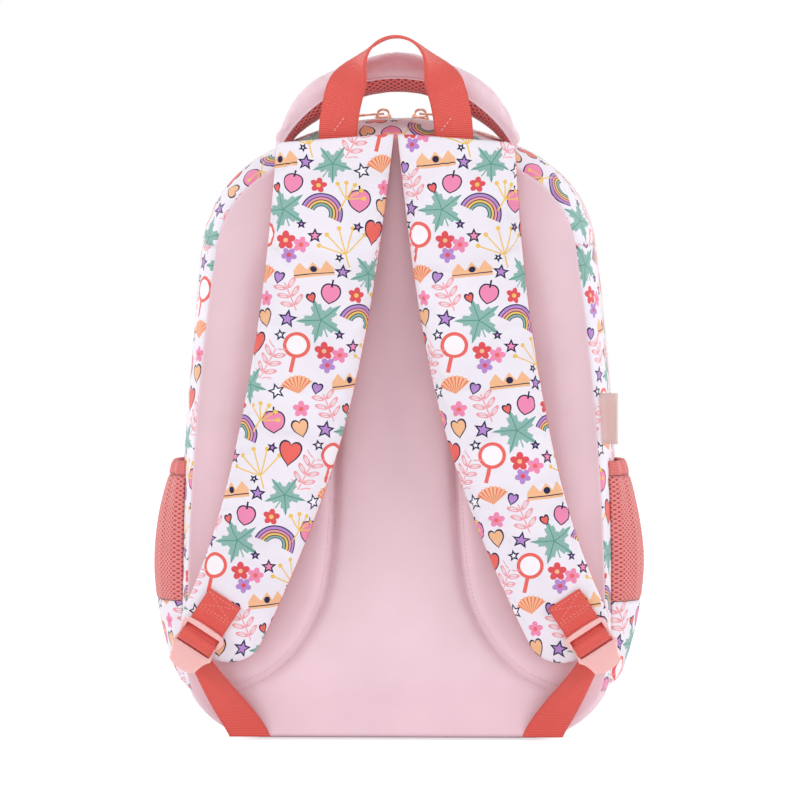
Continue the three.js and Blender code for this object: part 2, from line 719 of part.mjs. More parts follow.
// Padded haul handle: an arch of pink cover above and mesh below.
function addHaulHandle() {
  const steps = 14;
  const stations = Array.from({ length: steps + 1 }, (_, i) => {
    const share = (2 * i) / steps - 1;
    const angle = THREE.MathUtils.degToRad(haul.halfAngle) * share;
    const radial = new THREE.Vector3(Math.sin(angle), 0, Math.cos(angle));
    const origin = new THREE.Vector3(0, haul.back, haul.centreHeight);
    origin.addScaledVector(radial, haul.radius);
    return { origin, p: new THREE.Vector3(0, 1, 0), q: radial, share };
  });
  const half = (sign) => (s) => {
    const full = 1 - THREE.MathUtils.smoothstep(Math.abs(s.share), 0.45, 1);
    const depth = THREE.MathUtils.lerp(haulSection.endHalfDepth, haulSection.middleHalfDepth, full);
    const rise = THREE.MathUtils.lerp(haulSection.endRise, haulSection.middleRise, full);
    const flat = (sign * gap) / 2;
    return [
      [-depth, flat],
      [-depth * 0.85, flat + sign * rise * 0.55],
      [-depth * 0.4, flat + sign * rise],
      [depth * 0.4, flat + sign * rise],
      [depth * 0.85, flat + sign * rise * 0.55],
      [depth, flat],
    ];
  };
  add("haul_handle_cover", sweep(stations, half(1)), pinkFabric);
  add("haul_handle_mesh", sweep(stations, half(-1)), coralMesh);
}

function roundedPlate(length, width, depth, radius) {
  const shape = new THREE.Shape();
  const [l, w] = [length / 2, width / 2];
  shape.moveTo(-l + radius, -w);
  shape.lineTo(l - radius, -w);
  shape.quadraticCurveTo(l, -w, l, -w + radius);
  shape.lineTo(l, w - radius);
  shape.quadraticCurveTo(l, w, l - radius, w);
  shape.lineTo(-l + radius, w);
  shape.quadraticCurveTo(-l, w, -l, w - radius);
  shape.lineTo(-l, -w + radius);
  shape.quadraticCurveTo(-l, -w, -l + radius, -w);
  return new THREE.ExtrudeGeometry(shape, { depth, bevelEnabled: false, curveSegments: 2 });
}

// Slider on a zip's outer side: body, post between the rows of teeth, and a bridge for the pull.
function sliderGeometry() {
  const body = roundedPlate(slider.length, slider.width, slider.thickness, 2.5);
  body.translate(0, 0, slider.lift);
  const postHeight = slider.postDepth + slider.lift + 1;
  const post = new THREE.BoxGeometry(slider.length * 0.5, slider.postThickness, postHeight);
  post.translate(0, 0, (slider.lift + 1 - slider.postDepth) / 2);
  const top = slider.lift + slider.thickness;
  const half = bridge.span / 2;
  const arch = new THREE.Shape();
  arch.moveTo(-half, -1);
  arch.lineTo(-half, bridge.height * 0.6);
  arch.lineTo(-half * 0.6, bridge.height);
  arch.lineTo(half * 0.6, bridge.height);
  arch.lineTo(half, bridge.height * 0.6);
  arch.lineTo(half, -1);
  arch.lineTo(half - bridge.bar, -1);
  arch.lineTo(half - bridge.bar, bridge.height * 0.55);
  arch.lineTo(half * 0.5, bridge.height - bridge.bar);
  arch.lineTo(-half * 0.5, bridge.height - bridge.bar);
  arch.lineTo(-half + bridge.bar, bridge.height * 0.55);
  arch.lineTo(-half + bridge.bar, -1);
  const hoop = new THREE.ExtrudeGeometry(arch, { depth: bridge.width, bevelEnabled: false });
  hoop.rotateX(Math.PI / 2).translate(0, bridge.width / 2, top);
  return join(body, post, hoop);
}

// Zip pull that lies along the zip from the slider's bridge, with an eye round the bridge.
function pullGeometry() {
  const shape = new THREE.Shape();
  const start = -pull.endBar / 2;
  const eyeHalf = pull.eyeWidth / 2;
  const half = pull.width / 2;
  const eyeEnd = bridge.span / 2 + 2.7;
  const end = start + pull.length;
  shape.moveTo(start, -eyeHalf);
  shape.lineTo(eyeEnd + 1, -eyeHalf);
  shape.lineTo(end - 3, -half);
  shape.quadraticCurveTo(end, -half, end, 0);
  shape.quadraticCurveTo(end, half, end - 3, half);
  shape.lineTo(eyeEnd + 1, eyeHalf);
  shape.lineTo(start, eyeHalf);
  shape.holes.push(slotPath(start + pull.endBar, eyeEnd, pull.hole / 2));
  const geometry = new THREE.ExtrudeGeometry(shape, {
    depth: pull.thickness,
    bevelEnabled: false,
    curveSegments: 3,
  });
  return geometry.translate(0, 0, -pull.thickness / 2);
}

const pullHeight = slider.lift + slider.thickness + pull.lift + pull.thickness / 2;

// Places a slider and its pull on an outline's crown, at an angle from the middle.
function addSliderPair(outline, angle, depth, sliderName, pullName) {
  const facing = Math.sign(angle);
  const lie = new THREE.Matrix4()
    .makeTranslation(0, depth, outline.crownZ)
    .multiply(new THREE.Matrix4().makeRotationY(angle))
    .multiply(new THREE.Matrix4().makeTranslation(0, 0, outline.crownRadius));
  add(sliderName, sliderGeometry().applyMatrix4(lie), roseMetal);
  const turned = pullGeometry();
  if (facing < 0) turned.rotateZ(Math.PI);
  add(pullName, turned.translate(0, 0, pullHeight).applyMatrix4(lie), roseMetal);
}

function addSliders() {
  const angle = sliderSpread / bagOutline.crownRadius;
  addSliderPair(bagOutline, angle, zipPlane, "main_slider_right", "main_pull_right");
  addSliderPair(bagOutline, -angle, zipPlane, "main_slider_left", "main_pull_left");
  const pocketAngle = THREE.MathUtils.degToRad(pocketSliderAngle);
  addSliderPair(pocketOutline, pocketAngle, pocketZipPlane, "pocket_slider", "pocket_pull");
}

// Folded label in the right-hand back seam, turned out towards the side.
function addLabel() {
  const seam = bagOutline.at(label.bottom); // the bag is widest at the label's lower end
  const geometry = new THREE.BoxGeometry(label.width, label.thickness, label.height);
  geometry.translate(label.width / 2, 0, 0);
  geometry.rotateZ(THREE.MathUtils.degToRad(label.turn));
  geometry.translate(
    seam.x - backInset(seam.z) + gap + label.thickness / 2,
    -coverThickness - gap,
    label.bottom + label.height / 2,
  );
  add("side_label", geometry, labelFabric);
}

addBackPanel();
addRearWalls();
addBase();
addMainZip();
addFrontSection();
addFrontPocket();
addSidePockets();
addStraps();
addLowerWebbing();
addGrabLoop();
addHaulHandle();
addSliders();
addLabel();

// The origin is at the middle of the footprint.
model.updateMatrixWorld(true);
const bounds = new THREE.Box3().setFromObject(model, true);
model.position.y = -(bounds.min.y + bounds.max.y) / 2;

export default backpack;
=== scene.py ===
import bpy
import bmesh
from math import acos, atan2, cos, exp, hypot, pi, radians, sin, sqrt, tan
from mathutils import Matrix, Vector, noise


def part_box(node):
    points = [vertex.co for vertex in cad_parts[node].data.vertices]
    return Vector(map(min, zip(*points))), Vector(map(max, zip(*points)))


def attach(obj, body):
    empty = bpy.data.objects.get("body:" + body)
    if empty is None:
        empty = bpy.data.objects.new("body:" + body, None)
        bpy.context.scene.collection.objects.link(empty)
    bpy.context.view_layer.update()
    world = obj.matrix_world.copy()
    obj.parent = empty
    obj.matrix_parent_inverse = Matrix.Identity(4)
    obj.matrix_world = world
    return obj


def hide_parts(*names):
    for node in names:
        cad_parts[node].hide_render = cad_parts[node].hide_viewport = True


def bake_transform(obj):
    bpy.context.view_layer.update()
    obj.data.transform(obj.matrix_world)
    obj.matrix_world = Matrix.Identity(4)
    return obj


# School backpack. Shapes are worked out in millimetres and turned to metres as each mesh is made.
# +Z is up, the back panel and straps face -Y, the front pocket faces +Y.
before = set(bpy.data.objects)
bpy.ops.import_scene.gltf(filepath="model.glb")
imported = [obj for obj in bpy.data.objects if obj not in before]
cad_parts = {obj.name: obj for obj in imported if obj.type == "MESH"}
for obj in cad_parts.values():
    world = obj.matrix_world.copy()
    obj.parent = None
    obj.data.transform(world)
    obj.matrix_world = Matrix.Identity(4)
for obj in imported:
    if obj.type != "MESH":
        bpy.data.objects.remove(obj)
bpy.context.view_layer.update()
mm = 0.001


def nodeBox(node):
    low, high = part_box(node)
    return Vector(low) / mm, Vector(high) / mm


def mix(a, b, share):
    return a + (b - a) * share


def mixVector(a, b, share):
    return (a * (1 - share) + b * share).normalized()


def clamp(value, low=0.0, high=1.0):
    return max(low, min(high, value))


def smooth(value, low, high):
    share = clamp((value - low) / (high - low))
    return share * share * (3 - 2 * share)


def linear(hexColour):
    parts = [int(hexColour[i:i + 2], 16) / 255 for i in (1, 3, 5)]
    return tuple(p / 12.92 if p <= 0.04045 else ((p + 0.055) / 1.055) ** 2.4 for p in parts) + (1.0,)


def mixColour(first, second, share):
    return tuple(mix(a, b, share) for a, b in zip(linear(first), linear(second)))


def addNode(tree, kind, inputs=None, **settings):
    node = tree.nodes.new(kind)
    for name, value in settings.items():
        setattr(node, name, value)
    for key, value in (inputs or {}).items():
        if isinstance(value, bpy.types.Node):
            value = value.outputs[0]
        if isinstance(value, bpy.types.NodeSocket):
            tree.links.new(value, node.inputs[key])
        else:
            node.inputs[key].default_value = value
    return node


def calc(tree, operation, *values):
    return addNode(tree, "ShaderNodeMath", dict(enumerate(values)), operation=operation)


def vectorCalc(tree, operation, *values):
    return addNode(tree, "ShaderNodeVectorMath", dict(enumerate(values)), operation=operation)


def newGroup(name, inputs, outputs):
    tree = bpy.data.node_groups.new(name, "ShaderNodeTree")
    for label, kind in inputs:
        tree.interface.new_socket(label, in_out="INPUT", socket_type=kind)
    for label, kind in outputs:
        tree.interface.new_socket(label, in_out="OUTPUT", socket_type=kind)
    return tree, tree.nodes.new("NodeGroupInput").outputs, tree.nodes.new("NodeGroupOutput")


def newMaterial(name):
    material = bpy.data.materials.new(name)
    material.use_nodes = True
    material.node_tree.nodes.clear()
    return material


# The print repeats on a tile of cloth. Sizes and places are in millimetres.
tile = {"width": 106.0, "height": 76.0, "stagger": 25.0, "motifScale": 1.1}
ink = {"navy": "#23234A", "coral": "#EE6A62", "red": "#E2525A", "pink": "#F28DB5", "lilac": "#B98BD0",
       "teal": "#8DB8AF", "yellow": "#F2C766", "peach": "#F7BE92", "white": "#FDF8FD", "rose": "#F0A0A8"}
motifs = [
    # shape, across, up, turn, size, fill, line
    ("star", 4, 65, 10, 6.2, "lilac", "navy"),
    ("leaf", 26, 64, -20, 15.0, "teal", "teal"),
    ("rainbow", 51, 61, 25, 13.0, "white", "navy"),
    ("apple", 76, 69, 0, 8.6, "pink", "navy"),
    ("heart", 94, 64, -12, 6.4, "peach", "navy"),
    ("star", 105, 54, -10, 4.0, "white", "navy"),
    ("mirror", 10, 47, 12, 8.2, "coral", "white"),
    ("flower", 28, 43, 0, 5.8, "red", "peach"),
    ("flower", 38, 40, 15, 5.0, "pink", "coral"),
    ("flower", 30, 33, 40, 4.8, "lilac", "red"),
    ("sprig", 65, 42, -14, 17.0, "yellow", "yellow"),
    ("heart", 86, 46, 10, 8.4, "coral", "navy"),
    ("star", 47, 46, 0, 5.0, "pink", "navy"),
    ("star", 75, 52, 22, 3.6, "lilac", "navy"),
    ("twig", 97, 34, 28, 17.0, "rose", "rose"),
    ("shell", 10, 20, -10, 12.0, "peach", "coral"),
    ("heart", 23, 16, 14, 4.2, "lilac", "navy"),
    ("crown", 46, 23, -6, 12.0, "peach", "navy"),
    ("star", 65, 21, 5, 5.4, "lilac", "navy"),
    ("leaf", 83, 20, 35, 13.0, "teal", "teal"),
    ("star", 103, 15, -16, 5.6, "white", "navy"),
    ("twig", 31, 4, -22, 15.0, "rose", "rose"),
    ("apple", 57, 5, 10, 7.4, "pink", "navy"),
    ("sprig", 95, 0, 30, 11.0, "yellow", "yellow"),
    ("flower", 74, 5, 10, 5.0, "red", "yellow"),
    ("flower", 13, 3, 0, 5.0, "pink", "coral"),
    ("star", 63, 31, 30, 3.0, "white", "navy"),
    ("heart", 20, 78, -20, 3.6, "coral", "navy"),
    ("star", 38, 54, 0, 3.4, "lilac", "navy"),
]


# Where a motif lies on the tile: its own coordinates, wrapped so that it never ends at the tile's edge.
# Each row of tiles is staggered from the one below.
def placeGroup():
    tree, given, out = newGroup(
        "motif place",
        [("Cloth", "NodeSocketVector"), ("Middle", "NodeSocketVector"), ("Turn", "NodeSocketFloat")],
        [("Vector", "NodeSocketVector")])
    away = vectorCalc(tree, "SUBTRACT", given["Cloth"], given["Middle"])
    half = (tile["width"] / 2, tile["height"] / 2, 1.0)
    up = addNode(tree, "ShaderNodeSeparateXYZ", {0: away}).outputs[1]
    row = calc(tree, "MULTIPLY", up, 1 / tile["height"])
    whole = calc(tree, "ROUND", row)
    shift = calc(tree, "MULTIPLY", whole, tile["stagger"])
    beside = addNode(tree, "ShaderNodeCombineXYZ", {0: shift})
    stepped = vectorCalc(tree, "ADD", away, beside)
    wrapped = vectorCalc(tree, "WRAP", stepped, half, tuple(-h for h in half))
    turned = addNode(tree, "ShaderNodeVectorRotate", {"Vector": wrapped, "Angle": given["Turn"]},
                     rotation_type="Z_AXIS")
    tree.links.new(turned.outputs[0], out.inputs[0])
    return tree


# Each shape group works out how far a point is inside its edge, as a distance below zero.
def shapeGroup(name, build):
    tree, given, out = newGroup(
        f"motif {name}",
        [("Vector", "NodeSocketVector"), ("Size", "NodeSocketFloat"), ("Fill", "NodeSocketColor"),
         ("Line", "NodeSocketColor")],
        [("Colour", "NodeSocketColor"), ("Cover", "NodeSocketFloat")])
    parts = addNode(tree, "ShaderNodeSeparateXYZ", {0: given["Vector"]})
    radius = vectorCalc(tree, "LENGTH", given["Vector"]).outputs["Value"]
    angle = calc(tree, "ARCTAN2", parts.outputs[0], parts.outputs[1])
    colour, cover = build(tree, given, parts.outputs[0], parts.outputs[1], radius, angle)
    tree.links.new(colour, out.inputs[0])
    tree.links.new(cover, out.inputs[1])
    return tree


def inked(tree, given, distance, lineWidth):
    cover = calc(tree, "LESS_THAN", distance, 0.0)
    isLine = calc(tree, "GREATER_THAN", distance, -lineWidth)
    colour = addNode(tree, "ShaderNodeMixRGB", {0: isLine, 1: given["Fill"], 2: given["Line"]})
    return colour.outputs[0], cover.outputs[0]


def starShape(tree, given, x, y, radius, angle):
    fold = calc(tree, "PINGPONG", angle, pi / 5)
    lean = calc(tree, "SUBTRACT", fold, 1.176)
    slope = calc(tree, "COSINE", lean)
    reach = calc(tree, "MULTIPLY", slope, radius)
    edge = calc(tree, "MULTIPLY_ADD", given["Size"], -0.384, reach)
    return inked(tree, given, edge, 0.95)


def flowerShape(tree, given, x, y, radius, angle):
    five = calc(tree, "MULTIPLY", angle, 2.5)
    wave = calc(tree, "COSINE", five)
    lobes = calc(tree, "ABSOLUTE", wave)
    rim = calc(tree, "MULTIPLY_ADD", lobes, 0.42, 0.6)
    reach = calc(tree, "MULTIPLY", rim, given["Size"])
    edge = calc(tree, "SUBTRACT", radius, reach)
    cover = calc(tree, "LESS_THAN", edge, 0.0)
    eye = calc(tree, "LESS_THAN", radius, 1.5)
    colour = addNode(tree, "ShaderNodeMixRGB", {0: eye, 1: given["Fill"], 2: given["Line"]})
    return colour.outputs[0], cover.outputs[0]


def dented(tree, given, x, y, dent):
    side = calc(tree, "ABSOLUTE", x)
    scaled = calc(tree, "MULTIPLY", side, given["Size"])
    root = calc(tree, "SQRT", scaled)
    lowered = calc(tree, "MULTIPLY_ADD", root, -dent, y)
    spot = addNode(tree, "ShaderNodeCombineXYZ", {0: x, 1: lowered})
    reach = vectorCalc(tree, "LENGTH", spot).outputs["Value"]
    return calc(tree, "MULTIPLY_ADD", given["Size"], -0.82, reach)


def heartShape(tree, given, x, y, radius, angle):
    return inked(tree, given, dented(tree, given, x, y, 0.72), 1.0)


def appleShape(tree, given, x, y, radius, angle):
    colour, cover = inked(tree, given, dented(tree, given, x, y, 0.3), 0.9)
    beside = calc(tree, "COMPARE", x, 0.0, 0.6)
    middle = calc(tree, "MULTIPLY", given["Size"], 0.95)
    level = calc(tree, "COMPARE", y, middle, 2.6)
    stem = calc(tree, "MULTIPLY", beside, level)
    both = calc(tree, "MAXIMUM", cover, stem)
    inkedStem = addNode(tree, "ShaderNodeMixRGB", {0: stem, 1: colour, 2: given["Line"]})
    return inkedStem.outputs[0], both.outputs[0]


def rainbowShape(tree, given, x, y, radius, angle):
    share = calc(tree, "DIVIDE", radius, given["Size"])
    bands = addNode(tree, "ShaderNodeValToRGB", {0: share})
    bands.color_ramp.interpolation = "CONSTANT"
    stops = [(0.0, "navy"), (0.4, "teal"), (0.5, "navy"), (0.54, "yellow"), (0.64, "navy"), (0.68, "rose"),
             (0.78, "navy"), (0.82, "lilac"), (0.94, "navy")]
    while len(bands.color_ramp.elements) < len(stops):
        bands.color_ramp.elements.new(1.0)
    for element, (place, colour) in zip(bands.color_ramp.elements, stops):
        element.position = place
        element.color = linear(ink[colour])
    ring = calc(tree, "COMPARE", share, 0.68, 0.32)
    above = calc(tree, "GREATER_THAN", y, 0.0)
    cover = calc(tree, "MULTIPLY", ring, above)
    return bands.outputs[0], cover.outputs[0]


def leafShape(tree, given, x, y, radius, angle):
    fold = calc(tree, "PINGPONG", angle, pi / 5)
    between = calc(tree, "MULTIPLY", fold, 5 / pi)
    curve = calc(tree, "POWER", between, 0.8)
    lobes = calc(tree, "MULTIPLY_ADD", curve, -0.55, 1.0)
    teeth = calc(tree, "PINGPONG", angle, pi / 20)
    rim = calc(tree, "MULTIPLY_ADD", teeth, -1.0, lobes)
    reach = calc(tree, "MULTIPLY", rim, given["Size"])
    edge = calc(tree, "SUBTRACT", radius, reach)
    leaf = calc(tree, "LESS_THAN", edge, 0.0)
    thin = calc(tree, "COMPARE", x, 0.0, 0.5)
    down = calc(tree, "MULTIPLY", given["Size"], -0.5)
    near = calc(tree, "COMPARE", y, down, 4.0)
    stem = calc(tree, "MULTIPLY", thin, near)
    cover = calc(tree, "MAXIMUM", leaf, stem)
    across = calc(tree, "MULTIPLY", fold, radius)
    vein = calc(tree, "LESS_THAN", across, 0.3)
    colour = addNode(tree, "ShaderNodeMixRGB", {0: vein, 1: given["Fill"], 2: linear("#4E9385")})
    return colour.outputs[0], cover.outputs[0]


def sprigShape(tree, given, x, y, radius, angle):
    raised = calc(tree, "MULTIPLY_ADD", given["Size"], 0.5, y)
    turn = calc(tree, "ARCTAN2", x, raised)
    spot = addNode(tree, "ShaderNodeCombineXYZ", {0: x, 1: raised})
    reach = vectorCalc(tree, "LENGTH", spot).outputs["Value"]
    fold = calc(tree, "PINGPONG", turn, radians(14))
    off = calc(tree, "MULTIPLY", fold, reach)
    ray = calc(tree, "LESS_THAN", off, 0.45)
    short = calc(tree, "LESS_THAN", reach, given["Size"])
    rays = calc(tree, "MULTIPLY", ray, short)
    beyond = calc(tree, "SUBTRACT", reach, given["Size"])
    tip = addNode(tree, "ShaderNodeCombineXYZ", {0: off, 1: beyond})
    tipAway = vectorCalc(tree, "LENGTH", tip).outputs["Value"]
    blob = calc(tree, "LESS_THAN", tipAway, 1.5)
    both = calc(tree, "MAXIMUM", rays, blob)
    fan = calc(tree, "COMPARE", turn, 0.0, radians(63))
    head = calc(tree, "MULTIPLY", both, fan)
    thin = calc(tree, "COMPARE", x, 0.0, 0.5)
    low = calc(tree, "COMPARE", raised, -4.0, 5.0)
    stem = calc(tree, "MULTIPLY", thin, low)
    cover = calc(tree, "MAXIMUM", head, stem)
    return given["Fill"], cover.outputs[0]


def twigShape(tree, given, x, y, radius, angle):
    side = calc(tree, "ABSOLUTE", x)
    slanted = calc(tree, "MULTIPLY_ADD", side, -0.55, y)
    step = calc(tree, "PINGPONG", slanted, 3.1)
    lifted = calc(tree, "MULTIPLY", step, 1.9)
    outer = calc(tree, "SUBTRACT", side, 4.2)
    spot = addNode(tree, "ShaderNodeCombineXYZ", {0: outer, 1: lifted})
    reach = vectorCalc(tree, "LENGTH", spot).outputs["Value"]
    ring = calc(tree, "COMPARE", reach, 3.0, 0.75)
    midrib = calc(tree, "LESS_THAN", step, 0.3)
    inside = calc(tree, "LESS_THAN", reach, 3.0)
    rib = calc(tree, "MULTIPLY", midrib, inside)
    leaves = calc(tree, "MAXIMUM", ring, rib)
    stem = calc(tree, "COMPARE", x, 0.0, 0.4)
    both = calc(tree, "MAXIMUM", leaves, stem)
    near = calc(tree, "MULTIPLY", given["Size"], 0.62)
    long = calc(tree, "COMPARE", slanted, 0.0, near)
    wide = calc(tree, "COMPARE", x, 0.0, 8.2)
    limits = calc(tree, "MULTIPLY", long, wide)
    cover = calc(tree, "MULTIPLY", both, limits)
    return given["Fill"], cover.outputs[0]


def shellShape(tree, given, x, y, radius, angle):
    raised = calc(tree, "MULTIPLY_ADD", given["Size"], 0.5, y)
    turn = calc(tree, "ARCTAN2", x, raised)
    spot = addNode(tree, "ShaderNodeCombineXYZ", {0: x, 1: raised})
    reach = vectorCalc(tree, "LENGTH", spot).outputs["Value"]
    fold = calc(tree, "PINGPONG", turn, radians(7))
    notch = calc(tree, "MULTIPLY_ADD", fold, 9.0, reach)
    edge = calc(tree, "SUBTRACT", notch, given["Size"])
    below = calc(tree, "LESS_THAN", edge, 0.0)
    fan = calc(tree, "COMPARE", turn, 0.0, radians(56))
    cover = calc(tree, "MULTIPLY", below, fan)
    rib = calc(tree, "GREATER_THAN", fold, radians(4.6))
    colour = addNode(tree, "ShaderNodeMixRGB", {0: rib, 1: given["Fill"], 2: given["Line"]})
    return colour.outputs[0], cover.outputs[0]


def crownShape(tree, given, x, y, radius, angle):
    third = calc(tree, "MULTIPLY", given["Size"], 1 / 3)
    peaks = calc(tree, "PINGPONG", x, third)
    lowered = calc(tree, "MULTIPLY_ADD", peaks, 1.3, y)
    top = calc(tree, "SUBTRACT", lowered, 5.4)
    foot = calc(tree, "SUBTRACT", -5.6, y)
    side = calc(tree, "ABSOLUTE", x)
    flank = calc(tree, "SUBTRACT", side, given["Size"])
    upright = calc(tree, "MAXIMUM", top, foot)
    edge = calc(tree, "MAXIMUM", upright, flank)
    cover = calc(tree, "LESS_THAN", edge, 0.0)
    jewel = calc(tree, "LESS_THAN", radius, 2.3)
    band = calc(tree, "COMPARE", y, -3.6, 0.35)
    marks = calc(tree, "MAXIMUM", jewel, band)
    colour = addNode(tree, "ShaderNodeMixRGB", {0: marks, 1: given["Fill"], 2: given["Line"]})
    return colour.outputs[0], cover.outputs[0]


def mirrorShape(tree, given, x, y, radius, angle):
    disc = calc(tree, "LESS_THAN", radius, given["Size"])
    glassEdge = calc(tree, "MULTIPLY", given["Size"], 0.74)
    glass = calc(tree, "LESS_THAN", radius, glassEdge)
    thin = calc(tree, "COMPARE", x, 0.0, 1.3)
    middle = calc(tree, "MULTIPLY", given["Size"], -1.55)
    long = calc(tree, "COMPARE", y, middle, 5.2)
    handle = calc(tree, "MULTIPLY", thin, long)
    cover = calc(tree, "MAXIMUM", disc, handle)
    colour = addNode(tree, "ShaderNodeMixRGB", {0: glass, 1: given["Fill"], 2: given["Line"]})
    return colour.outputs[0], cover.outputs[0]


shapes = {"star": starShape, "flower": flowerShape, "heart": heartShape, "apple": appleShape,
          "rainbow": rainbowShape, "leaf": leafShape, "sprig": sprigShape, "twig": twigShape,
          "shell": shellShape, "crown": crownShape, "mirror": mirrorShape}


# Crossing threads, as a height from 0 to 1 on the cloth's own millimetres.
def weaveGroup():
    tree, given, out = newGroup("woven threads", [("Cloth", "NodeSocketVector"), ("Pitch", "NodeSocketFloat")],
                                [("Height", "NodeSocketFloat")])
    turns = calc(tree, "DIVIDE", 2 * pi, given["Pitch"])
    scaled = addNode(tree, "ShaderNodeVectorMath", {0: given["Cloth"], "Scale": turns}, operation="SCALE")
    parts = addNode(tree, "ShaderNodeSeparateXYZ", {0: scaled})
    warp = calc(tree, "SINE", parts.outputs[0])
    weft = calc(tree, "SINE", parts.outputs[1])
    height = calc(tree, "MULTIPLY", warp, weft)
    raised = calc(tree, "MULTIPLY_ADD", height, 0.5, 0.5)
    tree.links.new(raised.outputs[0], out.inputs[0])
    return tree


weave = weaveGroup()


def clothUv(tree):
    return addNode(tree, "ShaderNodeUVMap", uv_map="Cloth").outputs[0]


# Polyester pack cloth: matt, a fine plain weave and a faint sheen at grazing angles.
def wovenCloth(name, hexColour, pitch=0.9, strength=0.25, sheen=0.25, mottle=0.035, printed=False):
    material = newMaterial(name)
    tree = material.node_tree
    uv = clothUv(tree)
    threads = addNode(tree, "ShaderNodeGroup", node_tree=weave)
    tree.links.new(uv, threads.inputs["Cloth"])
    threads.inputs["Pitch"].default_value = pitch  # real threads are 0.4 mm apart, drawn coarser to show
    place = addNode(tree, "ShaderNodeTexCoord").outputs["Object"]
    clouds = addNode(tree, "ShaderNodeTexNoise", {"Vector": place, "Scale": 22.0, "Detail": 3.0})
    base = linear(hexColour)
    if printed:
        colour = addNode(tree, "ShaderNodeRGB")
        colour.outputs[0].default_value = base
        spot = placeGroup()
        groups = {shape: shapeGroup(shape, build) for shape, build in shapes.items()}
        for shape, across, up, turn, size, fill, line in motifs:
            local = addNode(tree, "ShaderNodeGroup", node_tree=spot)
            tree.links.new(uv, local.inputs["Cloth"])
            local.inputs["Middle"].default_value = (across, up, 0.0)
            local.inputs["Turn"].default_value = radians(turn)
            motif = addNode(tree, "ShaderNodeGroup", node_tree=groups[shape])
            tree.links.new(local.outputs[0], motif.inputs["Vector"])
            motif.inputs["Size"].default_value = size * tile["motifScale"]
            motif.inputs["Fill"].default_value = linear(ink[fill])
            motif.inputs["Line"].default_value = linear(ink[line])
            colour = addNode(tree, "ShaderNodeMixRGB", {0: motif.outputs["Cover"], 1: colour,
                                                        2: motif.outputs["Colour"]})
        base = colour.outputs[0]
    shade = addNode(tree, "ShaderNodeMapRange", {"Value": clouds, "From Min": 0.3, "From Max": 0.7,
                                                 "To Min": 1 - mottle, "To Max": 1 + mottle})
    tinted = vectorCalc(tree, "MULTIPLY", base, shade) if printed else \
        vectorCalc(tree, "MULTIPLY", base[:3], shade)
    bump = addNode(tree, "ShaderNodeBump", {"Height": threads, "Strength": strength, "Distance": 0.0002})
    shader = addNode(tree, "ShaderNodeBsdfPrincipled", {
        "Base Color": tinted, "Roughness": 0.82, "Sheen Weight": sheen, "Sheen Roughness": 0.5,
        "Specular IOR Level": 0.25, "Normal": bump})
    addNode(tree, "ShaderNodeOutputMaterial", {"Surface": shader})
    return material


# Polyester webbing: heavy ribs across the tape. Painted shade darkens the grooves, so the crowns look lighter
# and a little shinier.
def ribbedWebbing(name, hexColour, paintedShadeHex, pitch=1.5):
    material = newMaterial(name)
    tree = material.node_tree
    parts = addNode(tree, "ShaderNodeSeparateXYZ", {0: clothUv(tree)})
    along = calc(tree, "MULTIPLY", parts.outputs[1], 2 * pi / pitch)
    ribs = calc(tree, "SINE", along)
    threads = calc(tree, "MULTIPLY", parts.outputs[0], 2 * pi / 1.1)
    cross = calc(tree, "SINE", threads)
    both = calc(tree, "MULTIPLY_ADD", cross, 0.35, ribs)
    height = addNode(tree, "ShaderNodeMapRange", {"Value": both, "From Min": -1.35, "From Max": 1.35})
    # Painted shade: the rib grooves take the darker colour and the crowns keep the tape's own colour.
    colour = addNode(tree, "ShaderNodeMixRGB", {0: height, 1: linear(paintedShadeHex), 2: linear(hexColour)})
    bump = addNode(tree, "ShaderNodeBump", {"Height": height, "Strength": 0.7, "Distance": 0.0005})
    shader = addNode(tree, "ShaderNodeBsdfPrincipled", {
        "Base Color": colour, "Roughness": 0.62, "Sheen Weight": 0.2, "Sheen Roughness": 0.4,
        "Specular IOR Level": 0.35, "Normal": bump})
    addNode(tree, "ShaderNodeOutputMaterial", {"Surface": shader})
    return material


# Spacer mesh: soft knit with staggered rows of small holes, drawn in the material and painted dark as the shade
# inside them.
def knitMesh(name, hexColour, paintedShadeHex, across, along, hole):
    material = newMaterial(name)
    tree = material.node_tree
    parts = addNode(tree, "ShaderNodeSeparateXYZ", {0: clothUv(tree)})
    columns = calc(tree, "MULTIPLY", parts.outputs[0], 2 * pi / across)
    rows = calc(tree, "MULTIPLY", parts.outputs[1], 2 * pi / along)
    columnWave = calc(tree, "COSINE", columns)
    rowWave = calc(tree, "COSINE", rows)
    apart = calc(tree, "SUBTRACT", columnWave, rowWave)
    depth = calc(tree, "ABSOLUTE", apart)
    isHole = addNode(tree, "ShaderNodeMapRange", {"Value": depth, "From Min": hole, "From Max": hole + 0.5},
                     interpolation_type="SMOOTHSTEP")
    threads = addNode(tree, "ShaderNodeGroup", {"Pitch": 0.7}, node_tree=weave)
    tree.links.new(clothUv(tree), threads.inputs["Cloth"])
    yarn = addNode(tree, "ShaderNodeMixRGB", {
        0: threads, 1: linear(hexColour), 2: mixColour(hexColour, paintedShadeHex, 0.25)})
    # Painted shade: the holes are coloured dark where shade would fall inside them.
    colour = addNode(tree, "ShaderNodeMixRGB", {0: isHole, 1: yarn, 2: linear(paintedShadeHex)})
    bump = addNode(tree, "ShaderNodeBump", {"Height": isHole, "Strength": 1.0, "Distance": 0.0014}, invert=True)
    shader = addNode(tree, "ShaderNodeBsdfPrincipled", {
        "Base Color": colour, "Roughness": 0.85, "Sheen Weight": 0.35, "Sheen Roughness": 0.5,
        "Specular IOR Level": 0.2, "Normal": bump})
    addNode(tree, "ShaderNodeOutputMaterial", {"Surface": shader})
    return material


